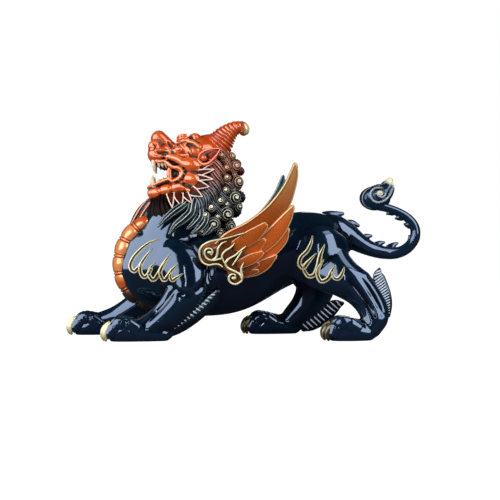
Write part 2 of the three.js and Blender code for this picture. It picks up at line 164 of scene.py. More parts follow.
def strands(count, height, twist=0.0):
    """A lock of hair with raised strands that wind along it."""
    def section(turn, wide, deep, share):
        ridge = 0.5 + 0.5 * np.cos(count * (turn + twist * share))
        swell = 1 + height * (ridge - 0.5)
        return wide * swell * np.cos(turn), deep * swell * np.sin(turn), ridge
    return section


def crested(turn, wide, deep, share):
    """A raised line, its mark high along its crest and low down both sides: gilt on the scrolls, and a
    painted highlight on the fins' ribs.
    """
    return wide * np.cos(turn), deep * np.sin(turn), np.abs(np.cos(turn)) ** 1.4


def chest_section(turn, wide, deep, share):
    """The chest's section, drawn out upwards from its widest line."""
    rise = np.sin(turn)
    return wide * np.cos(turn), deep * rise * np.where(rise > 0, 1.3, 1.0), np.zeros_like(turn)


def double_ridge(turn, wide, deep, share):
    """A flat band with a ridge along each edge and a dark hollow between them."""
    hollow = np.exp(-(np.sin(turn) / 0.55) ** 2)
    return wide * np.cos(turn) * (1 - 0.6 * hollow), deep * np.sin(turn), 1 - hollow


def feathered(rim=1.0, crown=0.4):
    """A thin blade, fuller along its middle, with a raised gilt rim `rim` wide on each face."""
    def section(turn, wide, deep, share):
        across = deep * np.sin(turn)
        room = np.maximum(deep - np.abs(across), 0)
        lip = np.exp(-((room - 0.55 * rim) / (0.5 * rim)) ** 4)
        full = np.sqrt(np.maximum(1 - (across / np.maximum(deep, 1e-6)) ** 2, 0))
        height = wide * (1 - crown + crown * full) + 0.45 * rim * lip
        edge = np.clip(room / (0.35 * rim), 0, 1) ** 0.5
        return np.sign(np.cos(turn)) * height * edge, across, lip
    return section


# Making forms

def nothing_selected():
    """Leaves no object selected, so that an operator acts on the next piece alone."""
    bpy.ops.object.select_all(action="DESELECT")


def form(rows, around=20, rings=24, side=LATERAL, section=oval, tip=0.8, caps=4):
    """A closed form along the drawn rows [x, y, z, half width, half depth]. The width lies along `side`, the
    depth square to it, and both ends are rounded over `tip` of the size there."""
    nothing_selected()
    total = rings + 2 * caps
    bpy.ops.mesh.primitive_uv_sphere_add(segments=around, ring_count=total, radius=1.0)
    piece = bpy.context.object
    ball = points_of(piece)
    turn = np.arctan2(ball[:, 1], ball[:, 0])
    ring = np.rint(np.arccos(np.clip(-ball[:, 2], -1, 1)) / math.pi * total).astype(int)
    spine = smooth_rows(rows, rings + 1)
    run = np.gradient(spine[:, :3], axis=0)
    run /= np.linalg.norm(run, axis=1)[:, None]
    wide = np.array(side) - (run @ np.array(side))[:, None] * run
    wide /= np.linalg.norm(wide, axis=1)[:, None]
    deep = np.cross(run, wide)

    row = np.clip(ring - caps, 0, rings)
    over = (np.maximum(ring - caps - rings, 0) - np.maximum(caps - ring, 0)) / caps * math.pi / 2
    half_wide, half_deep = spine[row, 3], spine[row, 4]
    reach = np.sin(over) * tip * np.minimum(half_wide, half_deep)
    closing = np.maximum(np.cos(over), 1e-4)
    u, v, gilt = section(turn, half_wide * closing, half_deep * closing, row / rings)
    skin = spine[row, :3] + run[row] * reach[:, None] + wide[row] * u[:, None] + deep[row] * v[:, None]
    skin[ring == 0] = spine[0, :3] - run[0] * tip * min(spine[0, 3:5])
    skin[ring == total] = spine[-1, :3] + run[-1] * tip * min(spine[-1, 3:5])
    set_points(piece, placed(skin))
    mark(piece, "gilt", gilt)
    return piece


def both(rows, **options):
    """A form on each flank."""
    return [form(rows, **options), form(mirrored(rows), **options)]


def egg(place, sizes, lean=0.0, around=24):
    """An egg of the given half sizes, tilted in side view by `lean` degrees."""
    nothing_selected()
    bpy.ops.mesh.primitive_uv_sphere_add(segments=around, ring_count=around // 2, radius=1.0)
    piece = bpy.context.object
    turned = Matrix.Rotation(math.radians(lean), 3, "Y")
    skin = (points_of(piece) * np.array(sizes)) @ np.array(turned).T + np.array(place)
    set_points(piece, placed(skin))
    mark(piece, "gilt", np.zeros(len(skin)))
    return piece


def both_eggs(place, sizes, lean=0.0, around=24):
    """An egg on each flank."""
    x, y, z = place
    return [egg((x, y, z), sizes, lean, around), egg((x, -y, z), sizes, lean, around)]


def named(piece, name):
    """Names a piece and its mesh."""
    piece.name = piece.data.name = name
    return piece


def chosen_alone(piece):
    """Selects one piece, so that an operator acts on it alone."""
    nothing_selected()
    piece.select_set(True)
    bpy.context.view_layer.objects.active = piece


def joined(name, parts):
    """The parts as one piece."""
    chosen_alone(parts[0])
    for part in parts:
        part.select_set(True)
    bpy.ops.object.join()
    return named(bpy.context.object, name)


def apply_modifiers(piece):
    """Makes every modifier of the piece part of its mesh."""
    chosen_alone(piece)
    for modifier in list(piece.modifiers):
        bpy.ops.object.modifier_apply(modifier=modifier.name)


def outer_skin(piece):
    """Keeps the skin that holds the piece's foremost point, without the hollows inside it."""
    foremost = int(np.argmin(points_of(piece)[:, 0]))
    chosen_alone(piece)
    bpy.ops.object.mode_set(mode="EDIT")
    bpy.ops.mesh.select_mode(type="VERT")
    bpy.ops.mesh.select_all(action="DESELECT")
    bpy.ops.object.mode_set(mode="OBJECT")
    piece.data.vertices[foremost].select = True
    bpy.ops.object.mode_set(mode="EDIT")
    bpy.ops.mesh.select_linked()
    bpy.ops.mesh.select_all(action="INVERT")
    bpy.ops.mesh.delete(type="VERT")
    bpy.ops.mesh.select_all(action="SELECT")
    bpy.ops.mesh.normals_make_consistent(inside=False)
    bpy.ops.object.mode_set(mode="OBJECT")


def clay(name, lumps, grain, passes):
    """The lumps worked into one skin of the given grain, in millimetres, and smoothed."""
    piece = joined(name, lumps)
    merge = piece.modifiers.new("merge", "REMESH")
    merge.mode = "VOXEL"
    merge.voxel_size = grain * MM
    apply_modifiers(piece)
    outer_skin(piece)
    soften(piece, passes)
    return piece


def soften(piece, passes):
    """Smooths a piece all over."""
    smooth = piece.modifiers.new("smooth", "SMOOTH")
    smooth.factor = SMOOTHING
    smooth.iterations = passes
    apply_modifiers(piece)


def carve(piece, paths):
    """Presses soft grooves along the drawn paths into a piece, or raises ridges where the depth is above
    nought. A path's rows are [x, y, z, width, depth], in millimetres."""
    points, normals = points_of(piece), normals_of(piece)
    move = np.zeros(len(points))
    for rows in paths:
        line = smooth_rows(rows, max(8, 6 * len(rows)))
        track = placed(line[:, :3])
        widest = line[:, 3].max() * GROOVE_REACH * MM
        low, high = track.min(axis=0) - widest, track.max(axis=0) + widest
        near = np.flatnonzero(np.all((points > low) & (points < high), axis=1))
        if not len(near):
            continue
        nearest = np.full(len(near), np.inf)
        size = np.zeros(len(near))
        press = np.zeros(len(near))
        for start, end in zip(range(len(track)), range(1, len(track))):
            leg = track[end] - track[start]
            along = np.clip(((points[near] - track[start]) @ leg) / max(leg @ leg, 1e-12), 0, 1)
            gap = np.linalg.norm(points[near] - track[start] - along[:, None] * leg, axis=1)
            closer = gap < nearest
            nearest[closer] = gap[closer]
            size[closer] = (line[start, 3] + (line[end, 3] - line[start, 3]) * along)[closer]
            press[closer] = (line[start, 4] + (line[end, 4] - line[start, 4]) * along)[closer]
        stroke = press * np.exp(-(nearest / (np.maximum(size, 0.05) * MM)) ** 2)
        stronger = np.abs(stroke) > np.abs(move[near])
        move[near[stronger]] = stroke[stronger]
    set_points(piece, points + normals * move[:, None] * MM)


def marks_of(piece, name):
    """The numbers kept on a piece under a name."""
    values = np.empty(len(piece.data.vertices), np.float32)
    piece.data.attributes[name].data.foreach_get("value", values)
    return values


def local_relief(piece, passes, height):
    """How far each point stands out of its surroundings: 1 on a ridge, 0.5 on the field, 0 in a recess."""
    points, normals = points_of(piece), normals_of(piece)
    ends = np.empty(len(piece.data.edges) * 2, int)
    piece.data.edges.foreach_get("vertices", ends)
    a, b = ends[::2], ends[1::2]
    count = len(points)
    degree = np.maximum(np.bincount(ends, minlength=count), 1)
    soft = points.copy()
    for _ in range(passes):
        pull = np.column_stack([
            np.bincount(a, soft[b, axis], count) + np.bincount(b, soft[a, axis], count) for axis in range(3)
        ])
        soft = 0.3 * soft + 0.7 * pull / degree[:, None]
    stand = np.einsum("ij,ij->i", points - soft, normals) / MM
    return 0.5 + 0.5 * np.tanh(stand / height)


def mark_relief(piece, passes, height, broad=0, broad_height=1.0):
    """Keeps the piece's relief, lowered as painted shade where it lies in a broad hollow when `broad` passes
    are asked for."""
    relief = local_relief(piece, passes, height)
    if broad:
        relief = np.clip(relief + 0.8 * np.minimum(local_relief(piece, broad, broad_height) - 0.5, 0), 0, 1)
    mark(piece, "relief", relief)


def finished(piece, material):
    """Gives a piece its material and smooth shading, and sets it on the casting's body."""
    piece.data.materials.clear()
    for one in material if isinstance(material, list) else [material]:
        piece.data.materials.append(one)
    chosen_alone(piece)
    bpy.ops.object.shade_smooth_by_angle(angle=math.pi)
    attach(piece, BODY)
    return piece


# Finishes

def group_of(name, inputs, outputs):
    """An empty node group with its named sockets."""
    group = bpy.data.node_groups.new(name, "ShaderNodeTree")
    for title, kind, value in inputs:
        socket = group.interface.new_socket(name=title, in_out="INPUT", socket_type=kind)
        socket.default_value = value
    for title, kind in outputs:
        group.interface.new_socket(name=title, in_out="OUTPUT", socket_type=kind)
    return group, group.nodes.new("NodeGroupInput"), group.nodes.new("NodeGroupOutput")


def feed(group, socket, value):
    """Links a socket to another one, or sets it to a plain value."""
    if isinstance(value, bpy.types.NodeSocket):
        group.links.new(value, socket)
    else:
        socket.default_value = value


def mix_node(group, factor, first, second):
    """A colour mix of two sockets or colours by a factor socket."""
    mix = group.nodes.new("ShaderNodeMix")
    mix.data_type = "RGBA"
    for title, value in (("Factor", factor), (6, first), (7, second)):
        feed(group, mix.inputs[title], value)
    return mix.outputs[2]


def range_node(group, value, low, high, start=0.0, end=1.0):
    """A socket's value taken smoothly from one range to another."""
    node = group.nodes.new("ShaderNodeMapRange")
    node.interpolation_type = "SMOOTHSTEP"
    titles = ("Value", "From Min", "From Max", "To Min", "To Max")
    for title, given in zip(titles, (value, low, high, start, end)):
        feed(group, node.inputs[title], given)
    return node.outputs["Result"]


def math_node(group, operation, *values):
    """The result of one sum of sockets and numbers."""
    node = group.nodes.new("ShaderNodeMath")
    node.operation = operation
    for socket, value in zip(node.inputs, values):
        feed(group, socket, value)
    return node.outputs["Value"]


def kept_mark(group, name):
    """The number that a piece keeps at each point under a name."""
    node = group.nodes.new("ShaderNodeAttribute")
    node.attribute_name = name
    return node.outputs["Fac"]


def dress(node, **values):
    """Sets the named inputs of a node."""
    for title, value in values.items():
        node.inputs[title.replace("_", " ")].default_value = value


def drift_group():
    """Slow changes between two lacquer tones, as brushed on by hand."""
    group, given, out = group_of(
        "tone_drift",
        [("Tone", "NodeSocketColor", (0.01, 0.02, 0.05, 1)),
         ("Second Tone", "NodeSocketColor", (0.01, 0.05, 0.06, 1)), ("Scale", "NodeSocketFloat", 30.0)],
        [("Colour", "NodeSocketColor")],
    )
    place = group.nodes.new("ShaderNodeTexCoord")
    noise = group.nodes.new("ShaderNodeTexNoise")
    dress(noise, Detail=3.0, Roughness=0.55)
    group.links.new(place.outputs["Object"], noise.inputs["Vector"])
    group.links.new(given.outputs["Scale"], noise.inputs["Scale"])
    mask = range_node(group, noise.outputs["Fac"], 0.36, 0.66)
    colour = mix_node(group, mask, given.outputs["Tone"], given.outputs["Second Tone"])
    group.links.new(colour, out.inputs["Colour"])
    return group


def relief_shade_group():
    """Painted shade darkening the recesses, and a painted highlight lightening the ridges."""
    group, given, out = group_of(
        "painted_relief_light",
        [("Field", "NodeSocketColor", (0.5, 0.1, 0.02, 1)),
         ("Recess", "NodeSocketColor", (0.05, 0.01, 0.01, 1)),
         ("Ridge", "NodeSocketColor", (0.8, 0.5, 0.3, 1)), ("Low", "NodeSocketFloat", 0.12),
         ("High", "NodeSocketFloat", 0.92)],
        [("Colour", "NodeSocketColor"), ("Recess", "NodeSocketFloat")],
    )
    relief = kept_mark(group, "relief")
    low = range_node(group, relief, given.outputs["Low"], 0.5, 1.0, 0.0)
    high = range_node(group, relief, 0.6, given.outputs["High"])
    dark = mix_node(group, low, given.outputs["Field"], given.outputs["Recess"])
    lit = mix_node(group, high, dark, given.outputs["Ridge"])
    group.links.new(lit, out.inputs["Colour"])
    group.links.new(low, out.inputs["Recess"])
    return group


def skin_group():
    """The faint unevenness of a cast and lacquered skin, as a height."""
    group, given, out = group_of(
        "cast_skin",
        [("Broad", "NodeSocketFloat", 60.0), ("Fine", "NodeSocketFloat", 900.0)],
        [("Height", "NodeSocketFloat"), ("Grain", "NodeSocketFloat")],
    )
    place = group.nodes.new("ShaderNodeTexCoord")
    broad = group.nodes.new("ShaderNodeTexNoise")
    fine = group.nodes.new("ShaderNodeTexNoise")
    for noise, size in ((broad, "Broad"), (fine, "Fine")):
        group.links.new(place.outputs["Object"], noise.inputs["Vector"])
        group.links.new(given.outputs[size], noise.inputs["Scale"])
        dress(noise, Detail=2.0)
    total = math_node(group, "MULTIPLY_ADD", fine.outputs["Fac"], 0.04, broad.outputs["Fac"])
    group.links.new(total, out.inputs["Height"])
    group.links.new(fine.outputs["Fac"], out.inputs["Grain"])
    return group


TONE_DRIFT = drift_group()
RELIEF_SHADE_AND_HIGHLIGHT = relief_shade_group()
CAST_SKIN = skin_group()


def new_material(name):
    """A material, its nodes and its Principled shader."""
    material = bpy.data.materials.new(name)
    material.use_nodes = True
    return material, material.node_tree, material.node_tree.nodes["Principled BSDF"]


def place_group(tree, group, **values):
    """A node group in a material, its named inputs set."""
    node = tree.nodes.new("ShaderNodeGroup")
    node.node_tree = group
    dress(node, **values)
    return node


def drifting(tree, tone, second, scale):
    """A colour that drifts between two tones."""
    return place_group(tree, TONE_DRIFT, Tone=tone, Second_Tone=second, Scale=scale).outputs["Colour"]


def cast(tree, shader, height, broad, fine, rough):
    """Bumps a material by the cast skin, `height` metres high. Gives the roughness, which follows the skin's
    grain."""
    skin = place_group(tree, CAST_SKIN, Broad=broad, Fine=fine)
    bump = tree.nodes.new("ShaderNodeBump")
    dress(bump, Distance=height, Strength=0.6)
    tree.links.new(skin.outputs["Height"], bump.inputs["Height"])
    tree.links.new(bump.outputs["Normal"], shader.inputs["Normal"])
    return range_node(tree, skin.outputs["Grain"], 0.2, 0.8, *rough)


def lacquer(name, tones, skin, rough, relief=None, pale=None, bare_or_shade=None, coat=None, **sockets):
    """A lacquer of two drifting tones over a cast skin. `relief` is the colour of the painted shade in its
    recesses and of the painted highlight on its ridges, and where they start and end. `pale` is laid over it
    where the gilt mark is high, and the low-mark colour shows where the mark is low: dark lacquer beside the
    gilt, or black painted shade in the ear's hollow. With a `coat`, the recesses stay dull and uncoated."""
    material, tree, shader = new_material(name)
    colour = drifting(tree, *tones)
    if relief:
        # Painted shade in the recesses and a painted highlight on the ridges, following the relief mark
        recess, ridge, low, high = relief
        painted_relief = place_group(tree, RELIEF_SHADE_AND_HIGHLIGHT, Recess=recess, Ridge=ridge, Low=low, High=high)
        tree.links.new(colour, painted_relief.inputs["Field"])
        colour = painted_relief.outputs["Colour"]
    if pale:
        over, low, high = pale
        colour = mix_node(tree, range_node(tree, kept_mark(tree, "gilt"), low, high), colour, over)
    if bare_or_shade:
        under, low, high = bare_or_shade
        colour = mix_node(tree, range_node(tree, kept_mark(tree, "gilt"), low, high), under, colour)
    tree.links.new(colour, shader.inputs["Base Color"])
    dullness = cast(tree, shader, *skin, rough)
    if coat:
        # The painted shade mask also keeps the recesses dull and uncoated
        hollow = painted_relief.outputs["Recess"]
        dullness = math_node(tree, "MULTIPLY_ADD", hollow, 0.4, dullness)
        tree.links.new(range_node(tree, hollow, 0.0, 0.8, coat, 0.0), shader.inputs["Coat Weight"])
    tree.links.new(dullness, shader.inputs["Roughness"])
    dress(shader, **sockets)
    return material


def orange_lacquer(name, tone, second, ridge, rough):
    """Glossy orange lacquer, with brown black painted shade in the recesses, where it is also dull, and a
    paler painted highlight on the ridges.
    """
    return lacquer(
        name, (tone, second, 70.0), (0.0002, 120.0, 900.0), (rough, rough + 0.1), coat=0.7,
        relief=((0.022, 0.0025, 0.0015, 1), ridge, 0.12, 1.0), Specular_Tint=(1.0, 0.88, 0.76, 1),
        Metallic=0.15, IOR=2.0, Coat_Roughness=0.08)


def object_place(tree):
    """The object coordinates, and each of them alone."""
    place = tree.nodes.new("ShaderNodeTexCoord").outputs["Object"]
    split = tree.nodes.new("ShaderNodeSeparateXYZ")
    tree.links.new(place, split.inputs["Vector"])
    return place, split.outputs


def wing_lacquer():
    """Satin orange of the wings' outer faces, brown at the shoulder and tan at the tips, with pale rims and
    near black painted shade in the hollows.
    """
    material, tree, shader = new_material("wing_lacquer")
    axes = object_place(tree)[1]
    climb = math_node(tree, "ADD", axes["X"], axes["Z"])
    drift = drifting(tree, (0.34, 0.066, 0.010, 1), (0.44, 0.088, 0.012, 1), 60.0)
    warm = mix_node(tree, kept_mark(tree, "warmth"), drift, (0.88, 0.17, 0.026, 1))
    shaded = mix_node(tree, range_node(tree, climb, 0.035, 0.085), (0.14, 0.032, 0.008, 1), warm)
    base = mix_node(tree, range_node(tree, climb, 0.115, 0.185), shaded, (0.66, 0.30, 0.10, 1))
    # Painted shade: near black where the relief sinks into a hollow
    hollow = range_node(tree, kept_mark(tree, "relief"), 0.1, 0.5)
    deep = mix_node(tree, hollow, (0.04, 0.008, 0.004, 1), base)
    edge = mix_node(tree, range_node(tree, climb, 0.085, 0.135), (0.90, 0.52, 0.28, 1), (0.72, 0.58, 0.28, 1))
    rim = range_node(tree, kept_mark(tree, "gilt"), 0.5, 0.9)
    tree.links.new(mix_node(tree, rim, deep, edge), shader.inputs["Base Color"])
    tree.links.new(cast(tree, shader, 0.0003, 90.0, 900.0, (0.2, 0.32)), shader.inputs["Roughness"])
    dress(shader, Metallic=0.25, Specular_Tint=(1.0, 0.85, 0.7, 1))
    return material


def hair_lacquer(name, low, line_low, line_high):
    """The mane's lacquer: orange brown beside the face, falling to blue black. The strands have lines from
    `line_low` to `line_high`, which start where the gilt mark is `low`: gilt lines on the curls, orange
    strands on the beard, and a painted highlight along the strands' crests on the locks and falls."""
    material, tree, shader = new_material(name)
    place, axes = object_place(tree)
    tilt = math_node(tree, "MULTIPLY_ADD", axes["X"], -0.10, axes["Z"])
    cloud = tree.nodes.new("ShaderNodeTexNoise")
    dress(cloud, Scale=70.0)
    tree.links.new(place, cloud.inputs["Vector"])
    wander = math_node(tree, "MULTIPLY_ADD", cloud.outputs["Fac"], 0.014, tilt)
    height = range_node(tree, wander, 0.122, 0.152)
    base = mix_node(tree, height, (0.0025, 0.007, 0.016, 1), (0.13, 0.018, 0.006, 1))
    line = mix_node(tree, height, line_low, line_high)
    mask = range_node(tree, kept_mark(tree, "gilt"), low, 1.0)
    tree.links.new(mix_node(tree, mask, base, line), shader.inputs["Base Color"])
    tree.links.new(cast(tree, shader, 0.0002, 200.0, 1500.0, (0.2, 0.32)), shader.inputs["Roughness"])
    dress(shader, Metallic=0.2, Specular_Tint=(0.8, 0.88, 1.0, 1))
    return material


# Deep navy over bronze, nearly black, with blue reflections, darker painted shade in the recesses and a
# lighter painted highlight on the ridges
NAVY = lacquer(
    "navy_lacquer", ((0.001, 0.003, 0.011, 1), (0.001, 0.010, 0.016, 1), 26.0), (0.0003, 38.0, 300.0),
    (0.06, 0.12), relief=((0.0004, 0.0006, 0.0015, 1), (0.004, 0.014, 0.032, 1), 0.05, 0.98), IOR=2.0,
    Specular_Tint=(0.52, 0.68, 1.0, 1), Coat_Weight=0.25, Coat_Roughness=0.04)
# The face and the plates wear painted shade in their recesses and a painted highlight on their ridges
FACE = orange_lacquer("face_lacquer", (0.82, 0.105, 0.006, 1), (0.64, 0.066, 0.005, 1),
                      (0.96, 0.27, 0.075, 1), 0.14)
PLATE = orange_lacquer("plate_lacquer", (0.86, 0.16, 0.016, 1), (0.70, 0.10, 0.010, 1), (0.95, 0.34, 0.10, 1),
                       0.10)
# Orange that turns to pale gilt on the outer side of the knob
KNOB = lacquer(
    "knob_lacquer", ((0.50, 0.09, 0.012, 1), (0.30, 0.045, 0.01, 1), 120.0), (0.0002, 200.0, 900.0),
    (0.14, 0.24), pale=((0.90, 0.72, 0.38, 1), 0.1, 0.9), Metallic=0.3)
# Navy with a pale painted highlight along the crests of the ribs
FIN = lacquer(
    "fin_lacquer", ((0.001, 0.003, 0.008, 1), (0.001, 0.006, 0.010, 1), 60.0), (0.0002, 90.0, 600.0),
    (0.12, 0.24), pale=((0.62, 0.72, 0.82, 1), 0.3, 0.85), IOR=1.8, Specular_Tint=(0.6, 0.75, 1.0, 1))
# Orange brown where the ear opens out, turning to black painted shade in its hollow
EAR_LINING = lacquer(
    "ear_lining", ((0.40, 0.045, 0.008, 1), (0.22, 0.025, 0.006, 1), 160.0), (0.0003, 200.0, 900.0),
    (0.2, 0.36), bare_or_shade=((0.006, 0.002, 0.002, 1), 0.15, 0.85))
# Pale gilding, bright on its crests and brown black in its hollows
GILT = lacquer(
    "pale_gilt", ((0.97, 0.91, 0.60, 1), (0.88, 0.74, 0.36, 1), 200.0), (0.0002, 260.0, 900.0), (0.16, 0.28),
    bare_or_shade=((0.035, 0.025, 0.010, 1), 0.3, 0.8), Metallic=0.25)
WING = wing_lacquer()
# Brown orange at the wings' shoulders, with dark painted shade in the hollows between the scrolls and a
# lighter painted highlight on the ridges
WING_ROOT = lacquer(
    "wing_root_lacquer", ((0.20, 0.045, 0.010, 1), (0.06, 0.014, 0.006, 1), 45.0), (0.0003, 60.0, 600.0),
    (0.12, 0.22), relief=((0.010, 0.005, 0.004, 1), (0.34, 0.10, 0.03, 1), 0.1, 0.95), IOR=1.8)
# Navy and teal on the wings' inner faces, with the same gilt rims
LINING = lacquer(
    "wing_lining", ((0.008, 0.03, 0.07, 1), (0.01, 0.09, 0.11, 1), 60.0), (0.0004, 90.0, 900.0), (0.16, 0.28),
    pale=((0.66, 0.56, 0.32, 1), 0.45, 0.85), Specular_Tint=(0.5, 0.75, 1.0, 1), IOR=1.8)
HAIR = hair_lacquer("curl_lacquer", 0.80, (0.92, 0.86, 0.62, 1), (0.95, 0.66, 0.36, 1))
HAIR_LOCK = hair_lacquer("lock_lacquer", 0.55, (0.24, 0.28, 0.30, 1), (0.80, 0.36, 0.24, 1))
HAIR_FALL = hair_lacquer("fall_lacquer", 0.78, (0.62, 0.74, 0.66, 1), (0.62, 0.74, 0.66, 1))
BEARD_LACQUER = hair_lacquer("beard_lacquer", 0.5, (0.85, 0.34, 0.18, 1), (0.85, 0.34, 0.18, 1))
# Maroon whiskers with pale worn rims
FRINGE_LACQUER = lacquer(
    "fringe_lacquer", ((0.10, 0.010, 0.003, 1), (0.012, 0.002, 0.002, 1), 160.0), (0.0002, 200.0, 1500.0),
    (0.3, 0.42), pale=((1.0, 0.76, 0.64, 1), 0.2, 0.65), Specular_IOR_Level=0.1)
# Matt black painted shade on the hair under the jaw and between the curls, with a breath of maroon
THROAT_SHADE_HAIR = lacquer(
    "throat_hair_painted_shade", ((0.0015, 0.0012, 0.0018, 1), (0.008, 0.0012, 0.001, 1), 60.0), (0.0004, 200.0, 900.0),
    (0.3, 0.45), Specular_IOR_Level=0.07)
# Ivory enamel of the teeth
IVORY = lacquer(
    "tooth_ivory", ((0.80, 0.70, 0.50, 1), (0.55, 0.38, 0.2, 1), 300.0), (0.0002, 300.0, 1500.0),
    (0.22, 0.36))
# Near black painted shade inside the mouth
MOUTH_SHADE = lacquer(
    "mouth_painted_shade", ((0.006, 0.0015, 0.0012, 1), (0.02, 0.004, 0.002, 1), 160.0), (0.0005, 200.0, 900.0),
    (0.3, 0.5))
# Navy with a pale painted highlight on the ridges of the tail's scroll and painted shade in its recesses, and
# its tip gilt
TUFT = lacquer(
    "tuft_lacquer", ((0.002, 0.008, 0.024, 1), (0.002, 0.014, 0.03, 1), 80.0), (0.0002, 90.0, 600.0),
    (0.1, 0.2), relief=((0.0006, 0.001, 0.003, 1), (0.36, 0.42, 0.46, 1), 0.1, 1.0),
    pale=((0.80, 0.70, 0.42, 1), 0.1, 0.9), IOR=1.9, Specular_Tint=(0.5, 0.68, 1.0, 1))


# The body

# Rows [x, y, z, half width, half depth] along each form, in drawn millimetres
BARREL = [
    [-70, 0, 57, 29, 36], [-60, 0, 57.4, 31, 39.5], [-38, 0, 56, 31, 39], [-12, 0, 56, 28.5, 35.5],
    [21, 0, 68, 26.8, 30], [45, 0, 76.6, 26, 28.2], [64, 0, 76.5, 24, 27], [74, 0, 74, 17.5, 22],
]
CHEST = [
    [-101.5, 0, 57, 17.6, 15], [-96.5, 0, 57, 21, 23.4], [-90, 0, 57, 23.8, 28.4], [-84, 0, 57, 26, 31.4],
    [-79, 0, 57, 27.8, 33.4], [-73, 0, 57, 29.6, 35], [-64, 0, 57, 31, 38], [-52, 0, 57, 30, 36],
]
NECK = [
    [-66, 0, 68, 27.4, 30.6], [-57, 0, 86, 26.4, 31.8], [-43, 0, 103, 22.6, 27], [-33, 0, 120, 18, 20],
    [-27, 0, 138, 17, 15], [-27, 0, 150, 14, 10],
]
LEFT_FORE = [
    [-66, -18, 66, 14, 24], [-53, -24, 56, 13, 21.5], [-48.5, -26.5, 45, 12, 18], [-53, -28, 33, 11, 15.5],
    [-63, -29, 21, 10, 13], [-77, -30, 12, 9.4, 10.8], [-88, -30, 9, 9, 8.6],
]
THIGH = [
    [28, -12.6, 69, 9, 16], [36, -14.8, 69.4, 9.8, 20], [44, -16.8, 69.6, 10.2, 22.6],
    [53, -18.4, 69, 10.8, 24.6], [60, -19.4, 68, 11.4, 25], [68, -18.4, 66.6, 10.8, 24],
    [77, -15.6, 65.6, 9, 20],
]
RIGHT_FORE = [
    [-66, 19, 62, 15, 26], [-70, 23, 48, 12.5, 19], [-81, 25.5, 33.5, 10.5, 13.5], [-96, 27, 23.5, 10, 10.8],
    [-110, 28, 15.5, 9.5, 9.5], [-126, 28, 10, 9, 8.5],
]
LEFT_HIND = [
    [57, -16, 71, 9.6, 26], [66, -19.8, 59, 11.2, 22.4], [78, -25.5, 50, 11.5, 16.5],
    [90, -28.5, 41.5, 10.4, 14.6], [99, -30.5, 30, 9.6, 12.8], [102.4, -32.5, 19, 9, 12],
    [99, -34, 9, 8.6, 8.8],
]
RIGHT_HIND = [
    [56, 17, 66, 15, 29], [60.5, 22, 50, 13, 20.5], [61, 25, 37, 11, 17], [53.4, 27, 24, 9.7, 13.4],
    [43, 28, 14, 9.3, 10.5], [37, 28, 8, 9, 8.5],
]
# Each paw: where its pad lies from front to back, how far across, and where its heel ends
PAWS = [(-100, -30, -68), (-136, 28, -116), (75.5, -35, 96), (14, 28, 42)]
# Each toe's place across its paw, in toe widths from the middle
TOES = (-1.5, -0.5, 0.5, 1.5)
TAIL = [
    [62, 0, 90.5, 12, 12], [74, 0, 91, 12, 12], [84, 0, 87, 10.6, 10.6], [95, 0, 79.6, 8.6, 8.6],
    [105, 0, 74.2, 6.8, 6.8], [116, 0, 70.8, 5.8, 5.8], [127, 0, 70.2, 5.2, 5.2], [137, 0, 74.2, 4.8, 4.8],
    [143.6, 0, 82.8, 4.6, 4.6], [143.6, 0, 92, 4.4, 4.4], [138, 0, 99.6, 4.2, 4.2], [129.4, 0, 104.8, 4, 4],
    [121, 0, 108, 3.9, 3.9], [112, 0, 110, 4, 4],
]


def flat_soles(piece):
    """Brings whatever reaches under the floor up to it."""
    points = points_of(piece)
    points[:, 2] = np.maximum(points[:, 2], 0)
    set_points(piece, points)


def paw_pad(x, y, heel):
    """A paw's pad and its tapered heel."""
    pad = [
        [heel + 7, y, 6.4, 4.4, 3.6], [heel, y, 5.6, 8.4, 7.2], [x + 8, y, 7.4, 10.8, 11.4],
        [x - 4, y, 6, 10.4, 9.4],
    ]
    return form(pad, around=24, rings=16)


def body_skin():
    """The body from chest to tail with its legs and pads, in one skin."""
    lumps = [form(rows, around=48, rings=40) for rows in (BARREL, NECK)]
    lumps.append(form(CHEST, around=64, rings=40, section=chest_section, tip=0.1))
    lumps += both(THIGH, around=40, rings=20)
    lumps += [form(rows, around=32, rings=32) for rows in (LEFT_FORE, RIGHT_FORE, LEFT_HIND, RIGHT_HIND)]
    # The hock of the near hind leg
    lumps.append(egg((93.4, -28, 50.6), (7.2, 8, 5.8), 14, 32))
    lumps.append(form(TAIL, around=28, rings=90))
    lumps += [paw_pad(*paw) for paw in PAWS]
    skin = clay("body", lumps, BODY_GRAIN, 10)
    flat_soles(skin)
    return skin


body = body_skin()
SKIN = BVHTree.FromObject(body, bpy.context.evaluated_depsgraph_get())


def laid(x, z, facing, sink=0.0):
    """The point of the flank at a place in side view, in drawn millimetres."""
    start = Vector(((x + SHIFT) * MM, facing * 0.2, z * MM))
    hit = SKIN.ray_cast(start, Vector((0, -facing, 0)))[0]
    return [x, hit.y / MM - facing * sink, z]


def muscle_lines(facing):
    """The folds and tendons of shoulder, foreleg, haunch and hock."""
    strokes = [
        [(-34, 66, 3.0, -1.0), (-31, 57, 3.4, -1.8), (-33, 48, 3.2, -1.8), (-40, 40, 2.8, -1.0)],
        [(-62, 44, 2.8, -0.5), (-54, 38, 2.8, -1.1), (-46, 37, 2.6, -0.6)],
    ]
    if facing == NEAR:
        strokes += [
            [(-58.4, 41, 2.4, -1.6), (-64.4, 33.4, 2.8, -2.6), (-72, 24.6, 2.8, -2.6),
             (-81.4, 13.6, 2.4, -1.4)],
            [(90, 50.6, 1.8, -0.4), (96, 42, 2.0, -1.4), (102.4, 31, 2.0, -1.4), (107.6, 20, 1.8, -0.6)],
            [(82, 48, 2.0, -0.5), (89, 39.6, 2.2, -1.6), (96, 28.6, 2.2, -1.6), (100.4, 19, 1.8, -0.8)],
        ]
    return [[laid(x, z, facing) + [width, depth] for x, z, width, depth in stroke] for stroke in strokes]


